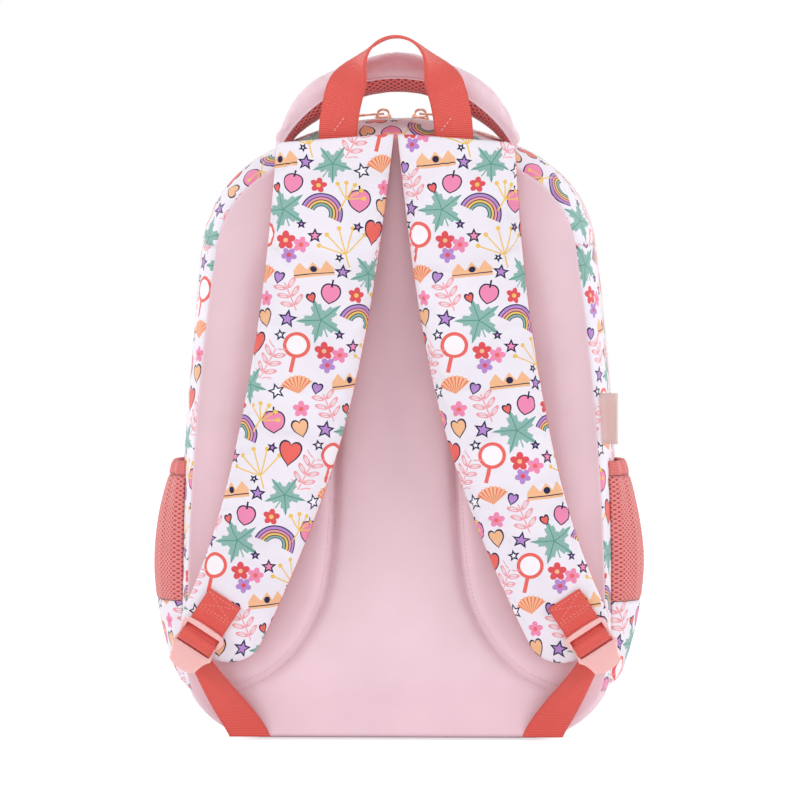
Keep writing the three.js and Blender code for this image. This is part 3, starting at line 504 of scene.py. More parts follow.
# Electroplated zinc: polished rose gold with faint streaks from barrel finishing.
def platedZinc(name, hexColour):
    material = newMaterial(name)
    tree = material.node_tree
    place = addNode(tree, "ShaderNodeTexCoord").outputs["Object"]
    grain = addNode(tree, "ShaderNodeTexNoise", {"Vector": place, "Scale": 900.0, "Detail": 2.0})
    rough = addNode(tree, "ShaderNodeMapRange", {"Value": grain, "To Min": 0.16, "To Max": 0.34})
    shader = addNode(tree, "ShaderNodeBsdfPrincipled", {
        "Base Color": linear(hexColour), "Metallic": 1.0, "Roughness": rough})
    addNode(tree, "ShaderNodeOutputMaterial", {"Surface": shader})
    return material


# Injection-moulded acetal: soft gloss, a little light passes through thin bars.
def mouldedAcetal(name, hexColour, roughness=0.32, glow=0.3):
    material = newMaterial(name)
    tree = material.node_tree
    place = addNode(tree, "ShaderNodeTexCoord").outputs["Object"]
    grain = addNode(tree, "ShaderNodeTexNoise", {"Vector": place, "Scale": 1500.0, "Detail": 2.0})
    bump = addNode(tree, "ShaderNodeBump", {"Height": grain, "Strength": 0.12, "Distance": 0.0001})
    rough = addNode(tree, "ShaderNodeMapRange", {"Value": grain, "To Min": roughness - 0.05,
                                                 "To Max": roughness + 0.08})
    shader = addNode(tree, "ShaderNodeBsdfPrincipled", {
        "Base Color": linear(hexColour), "Roughness": rough, "IOR": 1.48, "Subsurface Weight": glow,
        "Subsurface Radius": (0.004, 0.002, 0.0015), "Subsurface Scale": 1.0, "Normal": bump})
    addNode(tree, "ShaderNodeOutputMaterial", {"Surface": shader})
    return material


printCloth = wovenCloth("printed polyester cloth", "#F2ECF6", printed=True)
pinkCloth = wovenCloth("pink polyester cloth", "#F1D1DB")
liningCloth = wovenCloth("nylon taffeta lining", "#E6DDE4", pitch=0.8, sheen=0.1)
labelSatin = wovenCloth("satin label tape", "#FBDCD6", pitch=0.6, sheen=0.5)
# The second colour of each webbing below is the painted shade of its rib grooves.
coralTape = ribbedWebbing("coral polyester webbing", "#F86F65", "#DC4F47", pitch=1.35)
bindingTape = ribbedWebbing("coral grosgrain binding", "#F08A86", "#DE6A66", pitch=1.1)
zipCloth = ribbedWebbing("knitted zip tape", "#F3CBCB", "#DDABAE", pitch=1.0)
# The second colour of each mesh below is the painted shade of its holes.
handleMesh = knitMesh("coral spacer mesh", "#F27C78", "#A5363F", 5.6, 5.2, 0.95)
strapMesh = knitMesh("coral strap lining mesh", "#F2827E", "#C4545A", 4.4, 3.6, 1.05)
pocketMesh = knitMesh("coral pocket mesh", "#F59490", "#CE4F55", 4.2, 3.1, 0.95)
roseGold = platedZinc("rose gold plated zinc", "#F0BCA6")
pinkAcetal = mouldedAcetal("pink moulded acetal", "#F6C3C0")
coilNylon = mouldedAcetal("nylon zip coil", "#F2BFC0", roughness=0.4, glow=0.1)
paleThread = mouldedAcetal("pale sewing thread", "#F7D9DC", roughness=0.6, glow=0.0)
pinkThread = mouldedAcetal("pink sewing thread", "#EBBFCA", roughness=0.6, glow=0.0)
coralThread = mouldedAcetal("coral sewing thread", "#F7A79E", roughness=0.6, glow=0.0)
stiffBoard = mouldedAcetal("polyethylene base sheet", "#E9E5E0", roughness=0.5, glow=0.0)
print("materials made")


def makeObject(name, mesh, material, body, wall=0.0, lining=None):
    data = bpy.data.meshes.new(name)
    mesh.to_mesh(data)
    mesh.free()
    data.materials.append(material)
    if lining:
        data.materials.append(lining)
    for polygon in data.polygons:
        polygon.use_smooth = True
    piece = bpy.data.objects.new(name, data)
    bpy.context.scene.collection.objects.link(piece)
    if wall:
        solid = piece.modifiers.new("cloth thickness", "SOLIDIFY")
        solid.thickness = wall * mm
        solid.offset = -1.0
        solid.use_even_offset = False
        if lining:
            solid.material_offset = 1
    if body:
        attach(piece, body)
    return piece


# A grid of cloth: each point of the square from 0 to 1 goes where place says, and cloth gives its
# millimetres on the flat fabric. faces away from the point behind.
def clothGrid(columns, rows, place, cloth, behind=Vector((0, 0, 200))):
    grid = bmesh.new()
    bmesh.ops.create_grid(grid, x_segments=columns, y_segments=rows, size=0.5)
    layer = grid.loops.layers.uv.new("Cloth")
    spots = {vertex: (vertex.co.x + 0.5, vertex.co.y + 0.5) for vertex in grid.verts}
    for face in grid.faces:
        for loop in face.loops:
            loop[layer].uv = cloth(*spots[loop.vert])
    for vertex, (s, t) in spots.items():
        vertex.co = place(s, t) * mm
    grid.normal_update()
    facing = sum((f.calc_center_median() - behind * mm).dot(f.normal) * f.calc_area() for f in grid.faces)
    if facing < 0:
        bmesh.ops.reverse_faces(grid, faces=grid.faces[:])
    return grid


# Cloth simulation of a sewn panel: held at its edges and where sewn says so, and blown out by its filling.
def puff(piece, pressure, slack, cap, sewn=lambda spot: False):
    started = [vertex.co.copy() for vertex in piece.data.vertices]
    net = bmesh.new()
    net.from_mesh(piece.data)
    net.verts.ensure_lookup_table()
    ring = {v for v in net.verts if v.is_boundary or sewn(v.co / mm)}
    hold = {v.index: 1.0 for v in ring}
    for weight in (0.9, 0.7, 0.45, 0.2):
        ring = {e.other_vert(v) for v in ring for e in v.link_edges if e.other_vert(v).index not in hold}
        hold.update((v.index, weight) for v in ring)
    net.free()
    group = piece.vertex_groups.new(name="sewn")
    for index, weight in hold.items():
        group.add([index], weight, "REPLACE")
    walls = [(modifier, modifier.show_viewport) for modifier in piece.modifiers]
    for modifier, _ in walls:
        modifier.show_viewport = False
    cloth = piece.modifiers.new("filling", "CLOTH")
    cloth.settings.vertex_group_mass = "sewn"
    cloth.settings.quality = 5
    cloth.settings.mass = 0.25
    cloth.settings.tension_stiffness = 12
    cloth.settings.compression_stiffness = 12
    cloth.settings.shear_stiffness = 8
    cloth.settings.bending_stiffness = 0.4
    cloth.settings.use_pressure = True
    cloth.settings.uniform_pressure_force = pressure
    cloth.settings.shrink_min = -slack
    cloth.settings.effector_weights.gravity = 0
    frames = 20
    cloth.point_cache.frame_start = 1
    cloth.point_cache.frame_end = frames
    for step in range(1, frames + 1):
        bpy.context.scene.frame_set(step)
    blown = piece.evaluated_get(bpy.context.evaluated_depsgraph_get()).data
    moved = [vertex.co.copy() for vertex in blown.vertices]
    piece.modifiers.remove(cloth)
    piece.vertex_groups.remove(group)
    furthest = 0.0
    for vertex, before, after in zip(piece.data.vertices, started, moved):
        step = after - before
        furthest = max(furthest, step.length / mm)
        if step.length > cap * mm:
            step *= cap * mm / step.length
        vertex.co = before + step
    for modifier, shown in walls:
        modifier.show_viewport = shown
    bpy.context.scene.frame_set(1)
    print(f"{piece.name} filled, {furthest:.1f} mm at most")


# Sewing stitches: small threads laid end to end along a line of (point, outward) pairs.
def stitchRow(rows, name, thread, body, length=2.6, spacing=3.5, thickness=0.55):
    mesh = bmesh.new()
    for row in rows:
        run = 0.0
        for (a, outward), (b, _) in zip(row, row[1:]):
            span = (b - a).length
            if span < 1e-6:
                continue
            along = (b - a) / span
            side = outward.cross(along).normalized()
            up = along.cross(side)
            turn = Matrix((along, side, up)).transposed().to_4x4()
            while run < span:
                spot = Matrix.Translation((a + along * run + outward * 0.12) * mm) @ turn
                size = Matrix.Diagonal((length / 2 * mm, thickness / 2 * mm, thickness / 2 * mm, 1))
                bmesh.ops.create_icosphere(mesh, subdivisions=1, radius=1, matrix=spot @ size)
                run += spacing
            run -= span
    return makeObject(name, mesh, thread, body)


def smoothPath(points, steps=6):
    ends = [points[0] * 2 - points[1], *points, points[-1] * 2 - points[-2]]
    path = []
    for a, b, c, d in zip(ends, ends[1:], ends[2:], ends[3:]):
        for i in range(steps):
            t = i / steps
            path.append(0.5 * ((2 * b) + (c - a) * t + (2 * a - 5 * b + 4 * c - d) * t * t
                               + (3 * b - a - 3 * c + d) * t ** 3))
    return path + [points[-1]]


def pathLengths(path):
    lengths = [0.0]
    for a, b in zip(path, path[1:]):
        lengths.append(lengths[-1] + (b - a).length)
    return lengths


# Flat webbing along a path. across gives its width direction at each share of the path.
def ribbon(name, path, across, width, thickness, material, body, columns=8, skewed=False):
    lengths = pathLengths(path)
    total = lengths[-1]

    def spotAt(t):
        want = t * total
        i = max(k for k in range(len(path) - 1) if lengths[k] <= want + 1e-9)
        span = max(lengths[i + 1] - lengths[i], 1e-9)
        share = (want - lengths[i]) / span
        return path[i].lerp(path[i + 1], share), (path[i + 1] - path[i]) / span

    def place(s, t):
        point, along = spotAt(t)
        side = across(t)
        square = side - along * side.dot(along)
        side = side / max(square.length, 0.9) if skewed else square.normalized()
        out = square.normalized().cross(along)
        edge = abs(2 * s - 1) ** 8
        return point + side * (s - 0.5) * width - out * edge * 0.25

    rows = max(8, int(total / 1.6))
    grid = clothGrid(columns, rows, place, lambda s, t: ((s - 0.5) * width, t * total))
    bmesh.ops.solidify(grid, geom=grid.faces[:], thickness=thickness * mm)
    bmesh.ops.recalc_face_normals(grid, faces=grid.faces[:])
    return makeObject(name, grid, material, body)


# Round cord along a path, such as piping, closed at both ends.
def roundCord(name, path, radius, material, body, sides=8):
    mesh = bmesh.new()
    lengths = pathLengths(path)
    layer = mesh.loops.layers.uv.new("Cloth")
    rings = []
    for i, point in enumerate(path):
        along = (path[min(i + 1, len(path) - 1)] - path[max(i - 1, 0)]).normalized()
        side = along.cross(Vector((0, 1, 0.001))).normalized()
        up = side.cross(along)
        turn = Matrix((side, up, along)).transposed().to_4x4()
        made = bmesh.ops.create_circle(mesh, segments=sides, radius=radius * mm,
                                       matrix=Matrix.Translation(point * mm) @ turn)
        rings.append(made["verts"])
    for i, (near, far) in enumerate(zip(rings, rings[1:])):
        edges = [e for e in {e for v in near + far for e in v.link_edges} if
                 all(v in near for v in e.verts) or all(v in far for v in e.verts)]
        made = bmesh.ops.bridge_loops(mesh, edges=edges)
        for face in made["faces"]:
            for loop in face.loops:
                loop[layer].uv = (0.0, lengths[i] if loop.vert in near else lengths[i + 1])
    for ring in (rings[0], rings[-1]):
        bmesh.ops.contextual_create(mesh, geom=ring)
    bmesh.ops.recalc_face_normals(mesh, faces=mesh.faces[:])
    return makeObject(name, mesh, material, body)


sideLow, sideHigh = nodeBox("side_panel_right")
gussetHigh = nodeBox("top_gusset")[1]
faceLow, faceHigh = nodeBox("pocket_face")
bag = {"width": 2 * sideHigh.x, "height": gussetHigh.z, "foot": 0.0, "waistHeight": 103.0, "cornerRadius": 55.0,
       "shoulderRadius": 80.0, "sideLean": 7.0, "crownHalf": 30.0}
pocket = {"width": 2 * faceHigh.x, "height": faceHigh.z - faceLow.z, "foot": faceLow.z, "waistHeight": 40.0,
          "cornerRadius": 28.0, "shoulderRadius": 55.0, "sideLean": 7.0, "crownHalf": 30.0}
backY = sideLow.y
frontY = sideHigh.y
bagDepth = frontY - backY
backEdge = {"lowInset": 3.0, "topInset": 13.0, "roundDepth": 34.0}
frontEdge = {"lowInset": 5.0, "topInset": 12.0, "roundDepth": 31.0}
baseHeight = 32.0
zipEndHeight = 97.5


# Arcs and straights of the right half, from the middle of the foot to the middle of the crown, as
# a function from a length along it to (across, up, outward across, outward up).
def makeOutline(size):
    half = size["width"] / 2
    lean = radians(size["sideLean"])
    crownStart = pi / 2 - radians(size["crownHalf"])
    crownShare = tan(radians(size["crownHalf"]) / 2)
    shoulder = size["shoulderRadius"]
    rise = shoulder * (sin(crownStart) - sin(lean))
    run = shoulder * (cos(lean) - cos(crownStart))
    sideRun = 1 - cos(lean)
    left = size["height"] - size["waistHeight"] - rise - crownShare * (half - run)
    sideRadius = left / (sin(lean) - sideRun * crownShare)
    crownRadius = (half - sideRadius * sideRun - run) / cos(crownStart)
    waist = size["foot"] + size["waistHeight"]
    top = size["foot"] + size["height"]
    corner = size["cornerRadius"]
    shoulderX = half - sideRadius * sideRun - shoulder * cos(lean)
    shoulderZ = waist + (sideRadius - shoulder) * sin(lean)
    pieces = [
        ("line", half - corner, (0.0, size["foot"]), (1.0, 0.0)),
        ("arc", corner * pi / 2, (half - corner, size["foot"] + corner), (corner, -pi / 2)),
        ("line", waist - size["foot"] - corner, (half, size["foot"] + corner), (0.0, 1.0)),
        ("arc", sideRadius * lean, (half - sideRadius, waist), (sideRadius, 0.0)),
        ("arc", shoulder * (crownStart - lean), (shoulderX, shoulderZ), (shoulder, lean)),
        ("arc", crownRadius * (pi / 2 - crownStart), (0.0, top - crownRadius), (crownRadius, crownStart)),
    ]
    total = sum(piece[1] for piece in pieces)

    def at(length):
        mirrored = length > total
        length = clamp(2 * total - length if mirrored else length, -total, total)
        flip = -1 if mirrored or length < 0 else 1
        left = abs(length)
        for kind, reach, middle, rule in pieces:
            if left <= reach + 1e-6 or kind == "arc" and middle[0] == 0.0:
                break
            left -= reach
        if kind == "line":
            return (flip * (middle[0] + rule[0] * left), middle[1] + rule[1] * left, flip * rule[1], -rule[0])
        angle = rule[1] + left / rule[0]
        return (flip * (middle[0] + rule[0] * cos(angle)), middle[1] + rule[0] * sin(angle),
                flip * cos(angle), sin(angle))

    def lengthAt(height):
        low, high = 0.0, total
        for _ in range(40):
            middle = (low + high) / 2
            low, high = (middle, high) if at(middle)[1] < height else (low, middle)
        return low

    return {"at": at, "total": total, "lengthAt": lengthAt, "crownRadius": crownRadius,
            "crownZ": top - crownRadius, "middle": (size["foot"] + top) / 2}


bagOutline = makeOutline(bag)
pocketOutline = makeOutline(pocket)


def edgeInset(edge, z):
    return mix(edge["lowInset"], edge["topInset"], clamp(z / bag["height"]))


# The bag's skin at a length along the outline and a depth from the back seam.
def shellPoint(length, depth, lift=0.0):
    x, z, nx, nz = bagOutline["at"](length)
    fromBack = 1 - clamp(depth / backEdge["roundDepth"])
    fromFront = 1 - clamp((bagDepth - depth) / frontEdge["roundDepth"])
    inset = edgeInset(backEdge, z) * fromBack ** 2.2 + edgeInset(frontEdge, z) * fromFront ** 2.2
    level = 1 - smooth(-nz, 0.2, 0.9)
    middle = sin(pi * clamp(depth / bagDepth))
    slump = noise.noise(Vector((x * 0.017, depth * 0.021, z * 0.013))) * 1.5
    ripple = noise.noise(Vector((x * 0.05, depth * 0.11, z * 0.03 + 7))) * 0.5
    out = lift - inset + level * middle * (1.0 + slump + ripple)
    return Vector((x + nx * out, backY + depth, z + nz * out))


# A band of the skin between two lengths and two depths, tucked in at the edges that are sewn.
def shellBand(name, lengths, depths, material, body, tucks=(1, 1, 1, 1), lift=0.0, wall=2.0, uvTurn="along",
              lining=None, spacing=4.0):
    long = abs(lengths[1] - lengths[0])
    wide = depths[1] - depths[0]

    def place(s, t):
        length = mix(lengths[0], lengths[1], s)
        depth = mix(depths[0], depths[1], t)
        away = (s * long, (1 - s) * long, t * wide, (1 - t) * wide)
        tuck = sum(flag * exp(-(a / 1.7) ** 2) for flag, a in zip(tucks, away))
        return shellPoint(length, depth, lift - 0.9 * min(1.0, tuck))

    def cloth(s, t):
        length = mix(lengths[0], lengths[1], s)
        depth = mix(depths[0], depths[1], t)
        if uvTurn == "right":
            return (depth, length)
        if uvTurn == "left":
            return (-depth, 2 * bagOutline["total"] - length)
        return (length, -depth)

    columns = max(6, int(long / spacing))
    rows = max(4, int(wide / spacing))
    grid = clothGrid(columns, rows, place, cloth)
    return makeObject(name, grid, material, body, wall=wall, lining=lining)


def mirroredLength(length):
    return 2 * bagOutline["total"] - length


baseLength = bagOutline["lengthAt"](baseHeight)
zipEndLength = bagOutline["lengthAt"](zipEndHeight)
seamLength = bagOutline["lengthAt"](nodeBox("side_panel_right")[1].z)
rearTapeLow, rearTapeHigh = nodeBox("main_zip_tape_rear")
frontTapeLow, frontTapeHigh = nodeBox("main_zip_tape_front")
rearTape = (rearTapeLow.y - backY, rearTapeHigh.y - backY)
frontTape = (frontTapeLow.y - backY, frontTapeHigh.y - backY)

# Side panels, each an upper part behind the zip and a full-depth foot.
for side in ("right", "left"):
    flip = (lambda c: c) if side == "right" else mirroredLength
    panel = shellBand(f"side_panel_cloth_{side}", (flip(zipEndLength - 2), flip(seamLength)), (0, rearTape[0]),
                      printCloth, "bag_shell", tucks=(0, 1, 1, 1), uvTurn=side, lining=liningCloth)
    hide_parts(f"side_panel_{side}")
    foot = shellBand(f"side_panel_foot_{side}", (flip(baseLength), flip(zipEndLength)), (0, bagDepth),
                     printCloth, "bag_shell", tucks=(1, 0, 1, 1), uvTurn=side, lining=liningCloth)
    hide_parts(f"side_panel_{side}")
gusset = shellBand("top_gusset_cloth", (seamLength, mirroredLength(seamLength)), (0, rearTape[0]), printCloth,
                   "bag_shell", lining=liningCloth)
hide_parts("top_gusset")
base = shellBand("base_cloth", (-baseLength, baseLength), (0, bagDepth), pinkCloth, "bag_shell",
                 lining=liningCloth)
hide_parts("base_panel")
frontGusset = shellBand("front_gusset_cloth", (zipEndLength, mirroredLength(zipEndLength)),
                        (frontTape[1], bagDepth), printCloth, "front_section", lining=liningCloth)
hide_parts("front_gusset")
print("side walls, gussets and base sewn")


zipLook = {"toothPitch": 1.6, "toothLength": 2.3, "toothWidth": 0.95, "toothHeight": 1.5}


def zipHalf(name, outlinePoint, lengths, depths, teethAt, body, node):
    rows = 5
    long = lengths[1] - lengths[0]
    columns = int(long / 3)
    grid = clothGrid(columns, rows, lambda s, t: outlinePoint(mix(*lengths, s), mix(*depths, t), -0.5),
                     lambda s, t: (mix(*depths, t), mix(*lengths, s)))
    tape = makeObject(f"{name}_cloth", grid, zipCloth, body, wall=1.0)
    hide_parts(node)
    mesh = bmesh.new()
    count = int(long / zipLook["toothPitch"])
    for i in range(count):
        length = lengths[0] + (i + 0.5) * long / count
        spot = outlinePoint(length, teethAt, 0.15)
        ahead = (outlinePoint(length + 0.5, teethAt, 0.15) - spot).normalized()
        across = Vector((0, 1, 0))
        out = across.cross(ahead)
        turn = Matrix((ahead, across, out)).transposed().to_4x4()
        size = Matrix.Diagonal((zipLook["toothWidth"] / 2 * mm, zipLook["toothLength"] / 2 * mm,
                                zipLook["toothHeight"] / 2 * mm, 1))
        tooth = Matrix.Translation(spot * mm) @ turn @ size
        bmesh.ops.create_icosphere(mesh, subdivisions=1, radius=1, matrix=tooth)
    coil = makeObject(f"{name}_coil", mesh, coilNylon, body)


zipPlane = (rearTape[1] + frontTape[0]) / 2
archLengths = (zipEndLength + 0.5, mirroredLength(zipEndLength) - 0.5)
zipHalf("main_zip_rear", shellPoint, archLengths, rearTape, zipPlane - 1.15, "bag_shell", "main_zip_tape_rear")
zipHalf("main_zip_front", shellPoint, archLengths, frontTape, zipPlane + 1.15, "front_section",
        "main_zip_tape_front")


def pocketPoint(length, depth, lift=0.0):
    x, z, nx, nz = pocketOutline["at"](length)
    return Vector((x + nx * lift, depth, z + nz * lift))


pocketRearLow, pocketRearHigh = nodeBox("pocket_zip_tape_rear")
pocketFrontLow, pocketFrontHigh = nodeBox("pocket_zip_tape_front")
pocketPlane = (pocketRearHigh.y + pocketFrontLow.y) / 2
pocketZipEnd = pocketOutline["lengthAt"](pocket["foot"] + pocket["waistHeight"])
pocketArch = (pocketZipEnd, 2 * pocketOutline["total"] - pocketZipEnd)
zipHalf("pocket_zip_rear", pocketPoint, pocketArch, (pocketRearLow.y, pocketRearHigh.y), pocketPlane - 1.15,
        "front_section", "pocket_zip_tape_rear")
zipHalf("pocket_zip_front", pocketPoint, pocketArch, (pocketFrontLow.y, pocketFrontHigh.y), pocketPlane + 1.15,
        "pocket_front", "pocket_zip_tape_front")
print("zips sewn in")


# Slider and pull, made at rest on the zip and laid on an outline's crown.
def bar(mesh, low, high, place, bevel):
    low, high = Vector(low), Vector(high)
    size = Matrix.Diagonal((*((high - low) * mm), 1))
    made = bmesh.ops.create_cube(mesh, size=1, matrix=place @ Matrix.Translation((low + high) / 2 * mm) @ size)
    edges = list({edge for vertex in made["verts"] for edge in vertex.link_edges})
    bmesh.ops.bevel(mesh, geom=edges, offset=bevel * mm, segments=3, profile=0.5, affect="EDGES", material=-1)


def zipSlider(sliderNode, pullNode, outline, angle, depth, sliderBody, pullBody):
    facing = 1 if angle > 0 else -1
    lie = (Matrix.Translation(Vector((0, depth, outline["crownZ"])) * mm) @ Matrix.Rotation(angle, 4, "Y")
           @ Matrix.Translation(Vector((0, 0, outline["crownRadius"])) * mm))
    metal = bmesh.new()
    bar(metal, (-6, -4.2, 1.1), (4.2, 4.2, 3.9), lie, 1.1)
    bar(metal, (2.5, -3.1, 1.1), (6.1, 3.1, 3.7), lie, 1.0)
    bar(metal, (-3, -0.4, -2.6), (3, 0.4, 1.6), lie, 0.15)
    slider = makeObject(f"{sliderNode}_metal", metal, roseGold, sliderBody)
    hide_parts(sliderNode)
    arch = [(4.3 * cos(pi * i / 16), 0, 3.4 + 4.9 * sin(pi * i / 16) ** 0.8) for i in range(17)]
    wire = [lie @ (Vector(spot) * mm) / mm for spot in arch]
    hoop = roundCord(f"{sliderNode}_bridge", wire, 0.85, roseGold, sliderBody)
    flat = lie @ Matrix.Translation(Vector((0, 0, 5.3)) * mm) @ Matrix.Diagonal((facing, 1, 1, 1))
    tag = bmesh.new()
    bar(tag, (-0.7, -3.5, -0.7), (0.7, 3.5, 0.7), flat, 0.45)
    for y in (-3.5, 1.7):
        bar(tag, (-0.7, y, -0.7), (8.6, y + 1.8, 0.7), flat, 0.45)
    bar(tag, (7.6, -3.6, -0.7), (29.0, 3.6, 0.7), flat, 0.6)
    bar(tag, (12.0, -2.2, -0.95), (26.0, 2.2, 0.95), flat, 0.5)
    bmesh.ops.recalc_face_normals(tag, faces=tag.faces[:])
    pull = makeObject(f"{pullNode}_metal", tag, roseGold, pullBody)
    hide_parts(pullNode)


mainAngle = 12.5 / bagOutline["crownRadius"]
for side, turn in (("right", mainAngle), ("left", -mainAngle)):
    zipSlider(f"main_slider_{side}", f"main_pull_{side}", bagOutline, turn, backY + zipPlane,
              f"zip_slider_{side}", f"zip_pull_{side}")
zipSlider("pocket_slider", "pocket_pull", pocketOutline, radians(20), pocketPlane, "zip_slider_pocket",
          "zip_pull_pocket")
print("sliders and pulls made")


# A panel that fills an outline, drawn in by an inset, as rings about its middle. raise gives how far
# each point stands off the plane at depth, along the way it faces.
def filledPanel(rings, around, outline, insetOf, depth, facing, raiseAt, low=None):
    start = outline["lengthAt"](low) if low is not None else 0.0
    middleZ = outline["middle"] if low is None else (low + outline["at"](outline["total"])[1]) / 2

    def rim(t):
        if low is None:
            length = mix(0.0, 2 * outline["total"], t)
        else:
            foot = 0.18
            if t < foot:
                share = t / foot
                x, z, nx, nz = outline["at"](start)
                return (mix(-(x - nx * insetOf(z)), x - nx * insetOf(z), share), low)
            length = mix(start, 2 * outline["total"] - start, (t - foot) / (1 - foot))
        x, z, nx, nz = outline["at"](length)
        return (x - nx * insetOf(z), z - nz * insetOf(z))

    def place(s, t):
        x, z = rim(t)
        share = 1 - s
        px, pz = x * share, middleZ + (z - middleZ) * share
        return Vector((px, depth + facing * raiseAt(px, pz, s), pz))

    def cloth(s, t):
        spot = place(s, t)
        return (spot.x * -facing, spot.z)

    grid = clothGrid(rings, around, place, cloth, behind=Vector((0, depth - facing * 100, 200)))
    bmesh.ops.remove_doubles(grid, verts=grid.verts[:], dist=0.00002)
    return grid


# Back panel: pink cloth quilted over foam, with a seam each side that runs down from behind the straps
# and curves out to the lower corner.
backPad = {"middleRise": 5.0, "sideRise": 3.4, "seamDepth": 2.6, "seamWidth": 4.2, "edge": 30.0}
quiltRight = smoothPath([Vector((40, 0, 330)), Vector((38, 0, 250)), Vector((41, 0, 190)), Vector((43, 0, 145)),
                         Vector((46, 0, 115)), Vector((52, 0, 90)), Vector((67, 0, 63)), Vector((88, 0, 44)),
                         Vector((112, 0, 34)), Vector((134, 0, 32))], 8)


def distanceToQuilt(x, z):
    spot = Vector((abs(x), 0, z))
    best, side = 1e9, 1
    for a, b in zip(quiltRight, quiltRight[1:]):
        if min(a.z, b.z) - 60 > z or max(a.z, b.z) + 60 < z:
            continue
        along = b - a
        share = clamp((spot - a).dot(along) / along.length_squared)
        away = spot - (a + along * share)
        if away.length < best:
            best = away.length
            side = 1 if along.x * away.z - along.z * away.x > 0 else -1
    return best, side


def backInset(z):
    return edgeInset(backEdge, z)


def backRise(x, z, s):
    fromEdge = smooth(s, 0.0, 0.2)
    away, side = distanceToQuilt(x, z)
    groove = exp(-(away / backPad["seamWidth"]) ** 2)
    pucker = 0.35 * noise.noise(Vector((x * 0.3, 3, z * 0.3))) * exp(-(away / 9) ** 2)
    broad = noise.noise(Vector((x * 0.012, 1, z * 0.01))) * 0.8
    roll = exp(-((away - 12) / 12) ** 2) * 0.8
    rise = (backPad["middleRise"] + broad + roll) * fromEdge
    footFade = smooth(z, 2, 46) * (1 - 0.75 * smooth(z, 330, 402))
    return 0.4 + rise * footFade * (1 - 0.62 * groove) + pucker - 0.4 * groove


panelGrid = filledPanel(96, 300, bagOutline, backInset, backY - 0.3, -1, backRise)
backCloth = makeObject("back_panel_cloth", panelGrid, pinkCloth, "bag_shell", wall=1.2)
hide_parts("back_panel_cover", "back_panel_foam")


def onBack(x, z, offset=0.0):
    return Vector((x, backY - 0.3 - backRise(x, z, 0.3) - offset, z))


quiltStitches = []
for flip in (1, -1):
    for shift in (-2.4, 2.4):
        line = []
        for a, b in zip(quiltRight, quiltRight[1:]):
            along = (b - a).normalized()
            spot = a + Vector((along.z, 0, -along.x)) * shift
            line.append((onBack(flip * spot.x, spot.z, 0.05), Vector((0, -1, 0))))
        quiltStitches.append(line)
stitches = stitchRow(quiltStitches, "quilting_stitches", pinkThread, "bag_shell", length=2.2, spacing=3.0,
                     thickness=0.45)
liningGrid = filledPanel(40, 160, bagOutline, lambda z: backInset(z) + 4, backY + 7.9, 1, lambda x, z, s: 0.0)
lining = makeObject("back_lining_cloth", liningGrid, liningCloth, "bag_shell", wall=0.8)
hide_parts("back_panel_lining")
boardLow, boardHigh = nodeBox("base_board")
boardMesh = bmesh.new()
bar(boardMesh, boardLow, boardHigh, Matrix.Identity(4), 0.8)
board = makeObject("base_sheet", boardMesh, stiffBoard, "bag_shell")
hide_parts("base_board")
print("back panel quilted")


def frontInset(z):
    return edgeInset(frontEdge, z)


# Front panels below the zip's end: rows between two heights, rounded over at the front seam.
def frontStrip(name, low, high, material, body, node):
    def place(s, t):
        z = mix(low, high, t)
        x, _, nx, nz = bagOutline["at"](bagOutline["lengthAt"](z))
        half = x - nx * frontInset(z)
        tuck = exp(-(t * (high - low) / 1.8) ** 2) + exp(-((1 - t) * (high - low) / 1.8) ** 2)
        edge = abs(2 * s - 1) ** 26
        wave = noise.noise(Vector((s * 6, 5, z * 0.02))) * 0.7
        return Vector((mix(-half, half, s), frontY + 3.2 - 0.8 * tuck - 2.2 * edge + wave * (1 - edge), z))

    grid = clothGrid(110, max(8, int((high - low) / 3)), place, lambda s, t: (-place(s, t).x, place(s, t).z),
                     behind=Vector((0, 0, 50)))
    strip = makeObject(name, grid, material, body, wall=2.2, lining=liningCloth)
    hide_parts(node)


frontStrip("base_front_cloth", 0.5, baseHeight, pinkCloth, "bag_shell", "base_front_band")
frontStrip("lower_front_cloth", baseHeight + 0.3, zipEndHeight - 0.3, printCloth, "bag_shell",
           "lower_front_panel")


def frontRise(x, z, s):
    hollow = max(abs(x) / (pocket["width"] / 2 + 6),
                 abs(z - pocketOutline["middle"]) / (pocket["height"] / 2 + 6))
    free = smooth(hollow, 0.95, 1.25) * smooth(s, 0.0, 0.16)
    wave = noise.noise(Vector((x * 0.02, 9, z * 0.02)))
    return 2.8 + free * (2.4 + 1.2 * wave)


frontGrid = filledPanel(70, 260, bagOutline, frontInset, frontY + 0.3, 1, frontRise, low=zipEndHeight + 0.3)
frontCloth = makeObject("front_panel_cloth", frontGrid, printCloth, "front_section", wall=2.4,
                        lining=liningCloth)
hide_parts("front_panel")
pipingPath = []
for i in range(261):
    length = mix(archLengths[0], archLengths[1], i / 260)
    x, z, nx, nz = bagOutline["at"](length)
    inset = frontInset(z) - 1.9
    pipingPath.append(Vector((x - nx * inset, frontY + 1.8, z - nz * inset)))
piping = roundCord("front_piping_cord", pipingPath, 1.7, bindingTape, "front_section")
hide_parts("front_piping")
print("front panel and piping sewn")


# Front pocket: a fixed rim and tray on the front panel, and a puffed front that opens about its foot.
rimLow, rimHigh = nodeBox("pocket_rim")
gussetLow, gussetFar = nodeBox("pocket_gusset")


